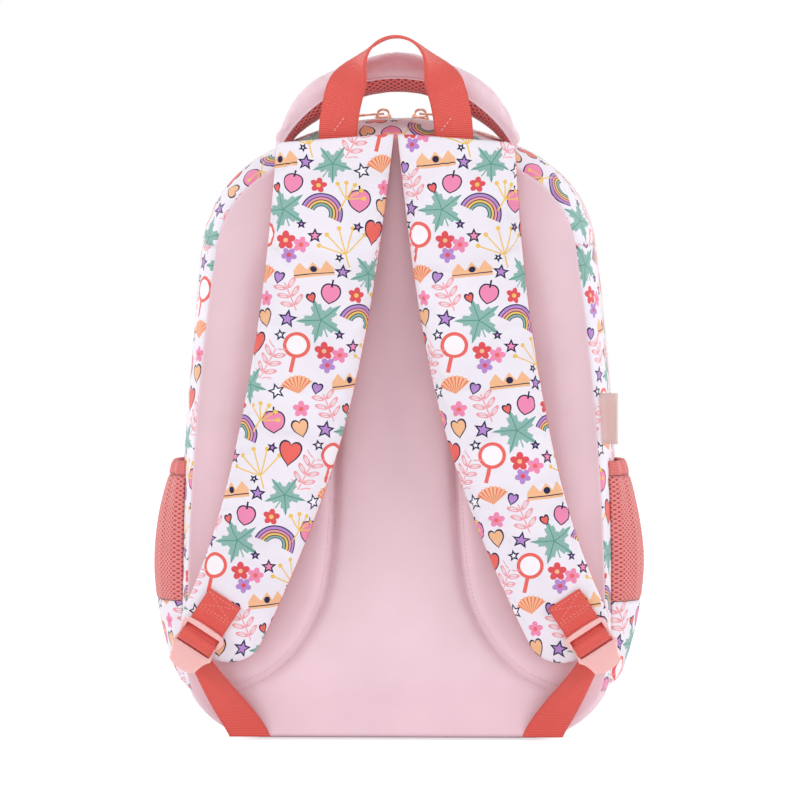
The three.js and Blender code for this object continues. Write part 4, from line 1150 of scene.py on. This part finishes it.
def pocketBand(name, lengths, depths, body, node):
    long = abs(lengths[1] - lengths[0])
    wide = depths[1] - depths[0]

    def place(s, t):
        length = mix(lengths[0], lengths[1], s)
        away = (t * wide, (1 - t) * wide)
        tuck = sum(exp(-(a / 1.5) ** 2) for a in away)
        swell = 1.6 * sin(pi * t) * min(1.0, wide / 14)
        ripple = noise.noise(Vector((length * 0.06, t * 2, 4))) * 0.7 * sin(pi * t)
        return pocketPoint(length, mix(depths[0], depths[1], t), -0.2 + swell + ripple - 0.7 * min(1, tuck))

    grid = clothGrid(max(12, int(long / 4)), max(4, int(wide / 2)), place,
                     lambda s, t: (mix(lengths[0], lengths[1], s), -mix(depths[0], depths[1], t)))
    band = makeObject(name, grid, printCloth, body, wall=1.8, lining=liningCloth)
    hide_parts(node)


pocketTray = (-pocketZipEnd, pocketZipEnd)
pocketBand("pocket_rim_arch", pocketArch, (rimLow.y, pocketRearLow.y), "front_section", "pocket_rim")
pocketBand("pocket_rim_tray", pocketTray, (rimLow.y, rimHigh.y), "front_section", "pocket_rim")
pocketBand("pocket_gusset_arch", pocketArch, (pocketFrontHigh.y, gussetFar.y), "pocket_front", "pocket_gusset")
pocketBand("pocket_gusset_tray", pocketTray, (gussetLow.y, gussetFar.y), "pocket_front", "pocket_gusset")
puffedFace = {"rise": 7.0}


def faceRise(x, z, s):
    broad = 0.9 * noise.noise(Vector((x * 0.02, 2, z * 0.02)))
    droop = 0.35 * smooth(pocket["foot"] + 120 - z, -60, 90)
    crown = puffedFace["rise"] * (1 + droop * 0.4) + broad
    return 0.3 + crown * smooth(s, 0.0, 0.34) + 1.2 * smooth(s, 0.0, 0.05)


faceGrid = filledPanel(48, 220, pocketOutline, lambda z: 0.3, gussetFar.y + 0.3, 1, faceRise)
pocketFace = makeObject("pocket_face_cloth", faceGrid, printCloth, "pocket_front", wall=1.6, lining=liningCloth)
puff(pocketFace, 3.0, 0.02, 4.0)
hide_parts("pocket_face")
pocketPiping = [pocketPoint(mix(0, 2 * pocketOutline["total"], i / 240), gussetFar.y + 0.5, 0.9)
                for i in range(241)]
cord = roundCord("pocket_piping_cord", pocketPiping, 1.5, bindingTape, "pocket_front")
print("front pocket sewn")


# Side pockets: a printed foot, open coral mesh and a gathered elastic binding at the mouth.
sidePocket = {"mostBulge": 18.5, "bulgeLow": 30.0, "bulgeHigh": 208.0, "standOff": 0.6}
footLow, footHigh = nodeBox("side_pocket_base_right")
netLow, netHigh = nodeBox("side_pocket_mesh_right")
bindLow, bindHigh = nodeBox("side_pocket_binding_right")


def pocketWallPoint(flip, across, z, lift=0.0, gather=0.0):
    x, _, nx, nz = bagOutline["at"](bagOutline["lengthAt"](z))
    share = (z - sidePocket["bulgeLow"]) / (sidePocket["bulgeHigh"] - sidePocket["bulgeLow"])
    bulge = sidePocket["mostBulge"] * sin(pi * share) * (1 - across ** 2)
    ripple = gather * (0.9 * sin(across * 21) + 0.6 * sin(across * 37 + 2)) * (1 - across ** 6)
    depth = mix(footLow.y, footHigh.y, (across + 1) / 2)
    sewn = max(smooth(abs(across), 0.88, 1.0), 1 - smooth(z - footLow.z, 0.0, 7.0))
    out = sidePocket["standOff"] + bulge + 1.6 + lift + ripple - 2.9 * sewn
    return Vector((flip * (x + out), depth, z))


for side, flip in (("right", 1), ("left", -1)):
    def wallPiece(name, low, high, material, node, gathers, wall, tuck=0.7, lift=0.0, columns=64):
        tall = high - low

        def place(s, t):
            z = mix(low, high, t)
            near = exp(-(t * tall / 1.6) ** 2) + exp(-((1 - t) * tall / 1.6) ** 2)
            gather = mix(gathers[0], gathers[1], t)
            wave = 0.8 * noise.noise(Vector((s * 3, z * 0.03, flip * 5)))
            return pocketWallPoint(flip, 2 * s - 1, z, lift + wave * sin(pi * s) - tuck * near, gather)

        grid = clothGrid(columns, max(4, int(tall / 3)), place,
                         lambda s, t: (flip * s * (footHigh.y - footLow.y) * 1.12, mix(low, high, t)))
        piece = makeObject(f"{name}_{side}", grid, material, "bag_shell", wall=wall)
        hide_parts(f"{node}_{side}")
        return piece

    wallPiece("side_pocket_foot_cloth", footLow.z, footHigh.z, printCloth, "side_pocket_base",
              (0.0, 0.15), 1.6)
    wallPiece("side_pocket_net", netLow.z, netHigh.z, pocketMesh, "side_pocket_mesh",
              (0.15, 0.55), 1.0)
    wallPiece("side_pocket_elastic", bindLow.z, bindHigh.z, bindingTape, "side_pocket_binding",
              (0.55, 0.75), 2.2, tuck=0.9, lift=0.5, columns=110)
print("side pockets sewn")


# Shoulder straps: shaped foam between a printed cover and a mesh lining, bound with tape all round.
strap = {"route": [(41, -8, 400), (50, -27, 300.2), (62, -40, 190.1), (116, -18, 78)], "topWidth": 78.0,
         "middleWidth": 71.0, "endWidth": 57.0, "tip": 24.0, "thickness": 12.0, "topThickness": 5.0,
         "slantFall": 0.17, "slantReach": 0.4, "overTop": 5.0, "edge": 8.5, "crown": 1.3}
strapPoints = [Vector((x, backY + y, z)) for x, y, z in strap["route"]]


def strapFrame(t):
    a, b, c, d = strapPoints
    r = 1 - t
    origin = a * r ** 3 + b * 3 * r * r * t + c * 3 * r * t * t + d * t ** 3
    along = ((b - a) * r * r + (c - b) * 2 * r * t + (d - c) * t * t).normalized()
    across = Vector((0, -1, 0)).cross(along).normalized()
    return origin, along, across, along.cross(across).normalized()


strapMarks = [strapFrame(i / 60)[0] for i in range(61)]
strapLengths = pathLengths(strapMarks)
strapLength = strapLengths[-1]


def shareAt(length):
    i = max(k for k in range(60) if strapLengths[k] <= max(length, 0) + 1e-9)
    return (i + (length - strapLengths[i]) / (strapLengths[i + 1] - strapLengths[i])) / 60


def strapHalf(t):
    early = mix(strap["topWidth"], strap["middleWidth"], min(1.0, t / 0.5))
    return mix(early, strap["endWidth"], smooth(t, 0.45, 1.0)) / 2


# A point of the strap from its length share (0 above the top seam, 1 at the tip) and its place
# across (-1 to 1), with how far in from the edge it lies.
def strapSpot(row, across):
    whole = strap["overTop"] + strapLength + strap["tip"]
    run = row * whole - strap["overTop"]
    if run <= strapLength:
        t = shareAt(min(run, strapLength)) if run > 0 else 0.0
        origin, along, sideways, out = strapFrame(t)
        if run < 0:
            origin = origin + along * run
        half = strapHalf(t)
        slant = strap["slantFall"] * max(0.0, 1 - t / strap["slantReach"])
        sideways = sideways + along * slant
        thick = mix(strap["topThickness"], strap["thickness"], smooth(t, 0, 0.12))
        return origin, along, sideways, out, half * across, half * (1 - abs(across)), thick
    origin, along, sideways, out = strapFrame(1.0)
    angle = clamp((run - strapLength) / strap["tip"]) * pi / 2
    half = strapHalf(1.0)
    reach = hypot(across * cos(angle), sin(angle))
    inside = (1 - reach) * mix(half, strap["tip"], sin(angle) ** 2)
    return (origin + along * strap["tip"] * sin(angle), along, sideways, out, half * across * cos(angle),
            inside, strap["thickness"])


def strapSurface(row, across, face):
    origin, along, sideways, out, aside, inside, thick = strapSpot(row, across)
    edge = clamp(inside / strap["edge"])
    height = thick / 2 * sqrt(1 - (1 - edge) ** 2)
    crown = strap["crown"] * smooth(inside, 2, 30) * smooth(row, 0.0, 0.1)
    wrinkle = 0.0
    if face > 0:
        wrinkle = 0.5 * noise.noise(Vector((aside * 0.03, row * 24, 3))) * smooth(inside, 1, 9)
        wrinkle += 0.35 * noise.noise(Vector((aside * 0.12, row * 55, 8))) * (1 - smooth(inside, 4, 14)) * edge
    return origin + sideways * aside + out * face * (height + crown * (1 if face > 0 else 0.3) + wrinkle)


strapRows = 150
sewnSpans = (128.0, 392.0)  # the cover is stitched flat under its tab below, and into the top seam above


def widen(w):
    return w * (1.5 - 0.5 * w * w)


for side, flip in (("right", 1), ("left", -1)):
    mirrorPoint = Vector((flip, 1, 1))

    def strapSheet(name, face, material, drawIn):
        def place(s, t):
            return strapSurface(t, widen(2 * s - 1) * drawIn, face) * mirrorPoint

        def cloth(s, t):
            spot = strapSurface(t, widen(2 * s - 1) * drawIn, face)
            origin, _, sideways, _, aside, inside, _ = strapSpot(t, widen(2 * s - 1) * drawIn)
            fold = (strap["edge"] - min(inside, strap["edge"])) * 0.35 * (1 if aside > 0 else -1)
            return (flip * (spot.x + fold), spot.z * 1.03)

        behindStrap = strapFrame(0.5)[0] * mirrorPoint - Vector((0, -face * 300, 0))
        grid = clothGrid(34, strapRows, place, cloth, behind=behindStrap)
        bmesh.ops.remove_doubles(grid, verts=grid.verts[:], dist=0.00002)
        return makeObject(name, grid, material, f"shoulder_strap_{side}", wall=1.0)

    cover = strapSheet(f"strap_cover_cloth_{side}", 1, printCloth, 0.995)
    puff(cover, 4.0, 0.035, 2.4, lambda spot: not sewnSpans[0] <= spot.z <= sewnSpans[1])
    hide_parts(f"strap_cover_{side}", f"strap_foam_{side}")
    under = strapSheet(f"strap_mesh_knit_{side}", -1, strapMesh, 0.995)
    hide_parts(f"strap_mesh_{side}")

    def bindingPoint(s, t):
        # Down one edge, round the tip and back up the other.
        if t < 0.5:
            row, across = 2 * t, 1.0
        else:
            row, across = 2 - 2 * t, -1.0
        origin, along, sideways, out, aside, inside, thick = strapSpot(min(row, 0.99995), across)
        outward = sideways * across
        tipStart = strap["overTop"] + strapLength
        pastTip = row * (tipStart + strap["tip"]) - tipStart
        if pastTip > 0:
            around = clamp(pastTip / strap["tip"]) * pi / 2
            outward = (sideways * across * cos(around) + along * sin(around)).normalized()
        turnShare = (s - 0.5) * pi
        depth = 2.6 * sin(turnShare)
        lift = 0.9 * cos(turnShare)
        return (origin + sideways * aside + outward * (lift - 0.75) + out * (depth - 1.9)) * mirrorPoint

    bindingGrid = clothGrid(6, 2 * strapRows, bindingPoint, lambda s, t: (s * 6, t * 2 * (strapLength + 40)),
                            behind=strapFrame(0.5)[0] * mirrorPoint)
    bindingPiece = makeObject(f"strap_binding_tape_{side}", bindingGrid, bindingTape, f"shoulder_strap_{side}",
                              wall=0.7)
    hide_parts(f"strap_binding_{side}")
print("shoulder straps sewn")


# Tab, buckle and webbing at the end of each strap.
webbing = {"width": 25.0, "thickness": 1.5}
tab = {"alongStart": -19.6, "acrossStart": 6.0, "turn": 7.5, "length": 24.0, "seat": 0.3}
buckle = {"width": 31.0, "length": 34.0, "thickness": 3.4, "bar": 3.6, "rail": 2.7, "slot": 5.6,
          "middleBar": 4.0, "lowerSlot": 4.6, "wave": 1.0, "gripCurl": 3.0, "bevel": 1.1, "clearance": 1.3}
barHeight = tab["seat"] + 1.6 + buckle["bar"] / 2 + buckle["clearance"]


def tabFrame(mirrorPoint):
    origin, along, across, out = strapFrame(1.0)
    turned = radians(tab["turn"])
    u = along * cos(turned) + across * sin(turned)
    v = -out.cross(u).normalized()
    origin = origin + along * tab["alongStart"] + across * tab["acrossStart"] + out * strap["thickness"] / 2
    return origin * mirrorPoint, u * mirrorPoint, v * mirrorPoint, out * mirrorPoint


for side, flip in (("right", 1), ("left", -1)):
    origin, u, v, out = tabFrame(Vector((flip, 1, 1)))

    def onTab(along, across, height):
        return origin + u * along + v * across + out * height

    lowerHeight = tab["seat"] + webbing["thickness"] / 2
    upperHeight = lowerHeight + webbing["thickness"] + 0.1
    tabEnd = tab["length"] + 1.0
    lowerRun = [onTab(tabEnd * i / 8, 0, lowerHeight) for i in range(9)]
    bend = [onTab(tabEnd + 0.8, 0, (lowerHeight + upperHeight) / 2)]
    backRun = [onTab(tabEnd * (1 - i / 8) - 0.6, 0, upperHeight) for i in range(9)]
    patch = ribbon(f"strap_tab_webbing_{side}", lowerRun + bend + backRun, lambda t: v, webbing["width"],
                   webbing["thickness"], coralTape, f"shoulder_strap_{side}")
    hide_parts(f"strap_tab_{side}")
    topOf = upperHeight + webbing["thickness"] / 2 + 0.1
    edge = webbing["width"] / 2 - 2
    rows = [[(onTab(11.8 + gapping, -edge, topOf), out), (onTab(11.8 + gapping, edge, topOf), out)]
            for gapping in (0.0, 1.9)]
    rows.append([(onTab(1.2, -edge, topOf), out), (onTab(1.2, edge, topOf), out)])
    rows.append([(onTab(1.2, -flip * edge, topOf), out), (onTab(11.0, flip * edge, topOf), out)])
    rows.append([(onTab(1.2, flip * edge, topOf), out), (onTab(11.0, -flip * edge, topOf), out)])
    boxStitch = stitchRow(rows, f"tab_stitching_{side}", coralThread, f"shoulder_strap_{side}", length=1.9,
                          spacing=2.6, thickness=0.42)

    first = buckle["bar"] / 2
    second = first + buckle["slot"]
    third = second + buckle["middleBar"]
    fourth = third + buckle["lowerSlot"]
    last = buckle["length"] - buckle["bar"] / 2
    alongLines = [-first, -first * 0.4, first, first + 1.9, first + 3.7, second, second + 2.0, third,
                  third + 2.3, fourth, fourth + 2.6, fourth + 5.4, fourth + 8.4, last - 2.2, last]
    inner = buckle["width"] / 2 - buckle["rail"]
    acrossLines = [-buckle["width"] / 2, -inner, -inner * 0.66, -inner * 0.33, 0, inner * 0.33,
                   inner * 0.66, inner, buckle["width"] / 2]
    plate = bmesh.new()
    bmesh.ops.create_grid(plate, x_segments=len(alongLines) - 1, y_segments=len(acrossLines) - 1, size=0.5)
    for vertex in plate.verts:
        i = round((vertex.co.x + 0.5) * (len(alongLines) - 1))
        j = round((vertex.co.y + 0.5) * (len(acrossLines) - 1))
        vertex.co = Vector((alongLines[i], acrossLines[j], 0))
    holes = [f for f in plate.faces if abs(f.calc_center_median().y) < inner and
             (first < f.calc_center_median().x < second or third < f.calc_center_median().x < fourth)]
    bmesh.ops.delete(plate, geom=holes, context="FACES")
    for vertex in plate.verts:
        x, y = vertex.co.x, vertex.co.y
        grip = smooth(x, fourth, last)
        if abs(y) > inner + 0.1:
            wave = sin((x + first) / (fourth + first) * 2 * pi)
            y += (1 if y > 0 else -1) * (buckle["wave"] * wave * (1 - grip) - 0.6)
        y *= 1 - 0.3 * grip
        if x < 0:
            y *= 0.94
        rounding = 3.2 * grip * abs(y / 11) ** 3 - (1.3 if x < 0 else 0) * abs(y / 15) ** 4
        vertex.co = Vector((x - rounding, y, buckle["gripCurl"] * grip ** 2))
    bmesh.ops.recalc_face_normals(plate, faces=plate.faces[:])
    bmesh.ops.solidify(plate, geom=plate.faces[:], thickness=buckle["thickness"])
    bmesh.ops.recalc_face_normals(plate, faces=plate.faces[:])
    centre = sum((vertex.co.z for vertex in plate.verts)) / len(plate.verts)
    pivot = onTab(tab["length"], 0, barHeight)
    turn = Matrix((u, v, out)).transposed()
    for vertex in plate.verts:
        spot = Vector((vertex.co.x, vertex.co.y, vertex.co.z - centre + 0.3))
        vertex.co = (pivot + turn @ spot) * mm
    bmesh.ops.recalc_face_normals(plate, faces=plate.faces[:])
    buckleMould = makeObject(f"ladder_lock_mould_{side}", plate, pinkAcetal, f"buckle_{side}")
    softened = buckleMould.modifiers.new("moulded edges", "BEVEL")
    softened.width = buckle["bevel"] * mm
    softened.segments = 3
    softened.limit_method = "ANGLE"
    softened.angle_limit = radians(40)
    rounder = buckleMould.modifiers.new("smooth mould", "SUBSURF")
    rounder.levels = rounder.render_levels = 1
    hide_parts(f"ladder_lock_{side}")

    def onBuckle(along, across, height):
        return pivot + u * along + v * across + out * height

    # Webbing in the buckle: one end comes up through the first slot, and the lower webbing goes over the
    # middle bar and down through the second slot.
    middle = (second + third) / 2
    seen = [(first - 3.4, -3.0), (first - 0.6, -2.9), (first + 1.6, -0.9), (first + 3.4, 0.3),
            (second - 0.6, 0.3), (second + 1.2, -1.6)]
    wrap = [(second - 1.6, 0.2), (second - 0.4, 3.2), (middle + 0.2, 5.0), (third + 1.4, 4.0),
            (fourth - 1.2, 1.0), (fourth - 0.8, -2.2), (fourth + 1.0, -3.6), (fourth + 3.4, -4.2)]
    for label, spots in (("slot", seen), ("wrap", wrap)):
        path = smoothPath([onBuckle(a, 0, h) for a, h in spots], 5)
        loop = ribbon(f"buckle_webbing_{label}_{side}", path, lambda t: v, 2 * inner - 0.5, 1.3, coralTape,
                      f"buckle_{side}")

    # From the base seam to the buckle, cut level at the seam and turning to the buckle as it rises.
    topEnd = onBuckle(fourth + 0.6, 0, -3.8)
    foot = Vector((flip * 98.5, backY - 0.7, 2.2))
    firstRise = Vector((flip * 102.5, backY - 3.4, 10.0))
    between = [firstRise.lerp(topEnd, share) + Vector((0, -1.4 * sin(pi * share), 0))
               for share in (0.25, 0.5, 0.75)]
    lowerPath = smoothPath([foot, firstRise, *between, topEnd], 7)
    sideways = v * (1 if v.x * flip > 0 else -1)
    lower = ribbon(f"lower_webbing_tape_{side}", lowerPath,
                   lambda t: mixVector(Vector((flip, 0, 0)), sideways, smooth(t, 0.1, 1.0)),
                   webbing["width"], 1.4, coralTape, None, skewed=True)
    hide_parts(f"lower_webbing_{side}")
    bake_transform(lower)
print("tabs, buckles and lower webbing made")


# Grab loop: a half ellipse of webbing, flat against the back at its feet and level at its top.
loopLow, loopHigh = nodeBox("grab_loop")
grab = {"width": 26.0, "thickness": 1.7, "spread": 39.0, "sunk": 1.5}
grabRise = loopHigh.z - 0.9 - loopLow.z
grabY = backY - 3.2
grabPath = []
for i in range(73):
    angle = pi * i / 72
    sine, cosine = sin(angle), cos(angle)
    lean = noise.noise(Vector((angle * 1.1, 4, 2))) * 2.0 * sine
    height = loopLow.z - grab["sunk"] + (grabRise + grab["sunk"]) * sine
    grabPath.append(Vector((grab["spread"] * cosine + lean, grabY, height)))


def grabSide(t):
    angle = pi * t
    sine = sin(angle)
    along = Vector((-grab["spread"] * sine, 0, grabRise * cos(angle))).normalized()
    flat = Vector((0, 1, 0)).cross(along).normalized()
    turned = pi / 2 * smooth(sine, 0.55, 0.99)
    return flat * cos(turned) + Vector((0, 1, 0)) * sin(turned)


grabPiece = ribbon("grab_loop_webbing", grabPath, grabSide, grab["width"], grab["thickness"], coralTape,
                   "grab_handle", columns=12)
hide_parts("grab_loop")
zigRows = []
for flip in (1, -1):
    x = flip * (grab["spread"] - 3)
    y = grabY - grab["thickness"] / 2 - 0.1
    zigRows.append([(Vector(spot), Vector((0, -1, 0))) for spot in ((x - 5, y, 411), (x + 2, y, 420))])
zigs = stitchRow(zigRows, "grab_loop_stitches", paleThread, "grab_handle", length=2.4, spacing=3.0,
                 thickness=0.5)


# Haul handle: a padded arch with a pink cover above and open mesh below, its ends turned down.
haul = {"radius": 90.0, "centreHeight": 357.5, "halfAngle": 62.0, "halfDepth": 15.8, "endHalfDepth": 8.6,
        "rise": 13.0, "endRise": 6.0, "peak": 2.2}
coverLow, coverHigh = nodeBox("haul_handle_cover")
haulY = (coverLow.y + coverHigh.y) / 2


def haulPoint(share, around):
    angle = radians(haul["halfAngle"]) * share
    radial = Vector((sin(angle), 0, cos(angle)))
    full = 1 - smooth(abs(share), 0.5, 1.0)
    closing = sqrt(max(0.0, 1 - clamp((abs(share) - 0.93) / 0.07) ** 2))
    depth = mix(haul["endHalfDepth"], haul["halfDepth"], full) * closing
    rise = mix(haul["endRise"], haul["rise"], full) * closing
    shift = haul["peak"] * exp(-(share / 0.16) ** 2) * max(0.0, sin(around))
    flatter = 0.82 if sin(around) < 0 else 1.0
    wrinkle = 0.5 * noise.noise(Vector((share * 9, cos(around) * 1.6, sin(around) * 1.6)))
    c, s = cos(around), sin(around)
    boxy = (abs(c) ** 2.6 + abs(s) ** 2.6) ** (-1 / 2.6)
    across = Vector((0, c * boxy * depth, 0))
    up = radial * (s * boxy * (rise + wrinkle) * flatter + shift)
    return Vector((0, haulY, haul["centreHeight"])) + radial * haul["radius"] + across + up


def haulSheet(name, fromAngle, toAngle, material, node):
    grid = clothGrid(110, 26, lambda s, t: haulPoint(2 * s - 1, mix(fromAngle, toAngle, t)),
                     lambda s, t: (s * 210, t * 60), behind=Vector((0, haulY, 357)))
    bmesh.ops.remove_doubles(grid, verts=grid.verts[:], dist=0.00002)
    middle = Vector((0, haulY, 357.5)) * mm
    outwards = 0.0
    for face in grid.faces:
        spot = face.calc_center_median()
        core = Vector((spot.x, 0, spot.z - middle.z)).normalized() * haul["radius"] * mm
        outwards += (spot - middle - core).dot(face.normal) * face.calc_area()
    if outwards < 0:
        bmesh.ops.reverse_faces(grid, faces=grid.faces[:])
    piece = makeObject(name, grid, material, "haul_handle", wall=1.0)
    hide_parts(node)
    return piece


haulCover = haulSheet("haul_handle_cloth", -0.12, pi + 0.12, pinkCloth, "haul_handle_cover")
puff(haulCover, 3.0, 0.03, 0.9)
haulSheet("haul_handle_knit", pi + 0.12, 2 * pi - 0.12, handleMesh, "haul_handle_mesh")
for name, around in (("near", pi + 0.12), ("far", -0.12)):
    edgePath = [haulPoint(mix(-0.99, 0.99, i / 90), around) for i in range(91)]
    seam = roundCord(f"haul_handle_seam_{name}", edgePath, 0.8, pinkCloth, "haul_handle", sides=6)
print("grab loop and haul handle made")


# Side label: a folded satin tab sewn into the right back seam, left plain.
labelLow, labelHigh = nodeBox("side_label")
labelMiddle = (labelLow + labelHigh) / 2
labelTurn = radians(38)
labelOut = Vector((cos(labelTurn), -sin(labelTurn), 0))
labelFace = Vector((-sin(labelTurn), -cos(labelTurn), 0))
tag = {"width": 16.0, "fold": 0.55}
labelPath = [labelMiddle + labelOut * (mix(-0.5, 0.5, i / 12) * tag["width"]) + labelFace *
             (tag["fold"] * (1 - (i / 12) ** 4)) for i in range(13)]
labelPath += [labelMiddle + labelOut * (mix(0.5, -0.5, i / 12) * tag["width"]) - labelFace *
              (tag["fold"] * (1 - (1 - i / 12) ** 4)) for i in range(13)]
labelPiece = ribbon("side_label_satin", labelPath, lambda t: Vector((0, 0, 1)), labelHigh.z - labelLow.z, 0.45,
                    labelSatin, "bag_shell")
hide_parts("side_label")
print("side label made")


# Studio: pale paper, a bright even surround and soft lights, seen from the back.
paper = newMaterial("studio paper")
tree = paper.node_tree
lookedAt = addNode(tree, "ShaderNodeLightPath").outputs["Is Camera Ray"]
glow = addNode(tree, "ShaderNodeMapRange", {"Value": lookedAt, "To Min": 0.12, "To Max": 0.6})
paperShader = addNode(tree, "ShaderNodeBsdfPrincipled", {
    "Base Color": (0.88, 0.88, 0.89, 1), "Roughness": 0.95, "Specular IOR Level": 0.1,
    "Emission Color": (1, 1, 1, 1), "Emission Strength": glow})
addNode(tree, "ShaderNodeOutputMaterial", {"Surface": paperShader})
floorMesh = bmesh.new()
bmesh.ops.create_grid(floorMesh, x_segments=1, y_segments=1, size=4.0)
floorData = bpy.data.meshes.new("floor")
floorMesh.to_mesh(floorData)
floorMesh.free()
floorData.materials.append(paper)
floor = bpy.data.objects.new("floor", floorData)
bpy.context.scene.collection.objects.link(floor)

view = {"distance": 5.0, "azimuth": 2.3, "elevation": 1.6, "lens": 330.0, "targetHeight": 0.2275}
cameraData = bpy.data.cameras.new("camera")
cameraData.lens = view["lens"]
cameraData.sensor_width = 36.0
cameraData.clip_end = 20.0
camera = bpy.data.objects.new("camera", cameraData)
bpy.context.scene.collection.objects.link(camera)
turn = radians(view["azimuth"])
rise = radians(view["elevation"])
away = Vector((sin(turn) * cos(rise), -cos(turn) * cos(rise), sin(rise))) * view["distance"]
target = Vector((0, 0, view["targetHeight"]))
camera.location = target + away
camera.rotation_euler = (-away).to_track_quat("-Z", "Y").to_euler()
bpy.context.scene.camera = camera


def softLight(name, place, size, power):
    data = bpy.data.lights.new(name, "AREA")
    data.shape = "DISK"
    data.size = size
    data.energy = power
    light = bpy.data.objects.new(name, data)
    light.location = place
    light.rotation_euler = (target - light.location).to_track_quat("-Z", "Y").to_euler()
    bpy.context.scene.collection.objects.link(light)


for side in (-1, 1):
    softLight("strap side light", Vector((side * 1.9, -1.15, 0.8)), 0.9, 12)
    softLight("pocket side light", Vector((side * 1.5, 1.6, 0.9)), 1.0, 10)
softLight("top light", Vector((0, -0.5, 2.3)), 0.9, 5)
world = bpy.data.worlds.new("white surround")
world.use_nodes = True
world.node_tree.nodes.clear()
seen = addNode(world.node_tree, "ShaderNodeLightPath").outputs["Is Camera Ray"]
lit = addNode(world.node_tree, "ShaderNodeMapRange", {"Value": seen, "To Min": 0.62, "To Max": 1.0})
surround = addNode(world.node_tree, "ShaderNodeBackground", {"Color": (1, 1, 1, 1), "Strength": lit})
addNode(world.node_tree, "ShaderNodeOutputWorld", {"Surface": surround})
bpy.context.scene.world = world
bpy.context.scene.view_settings.view_transform = "Standard"

print("backpack finished")
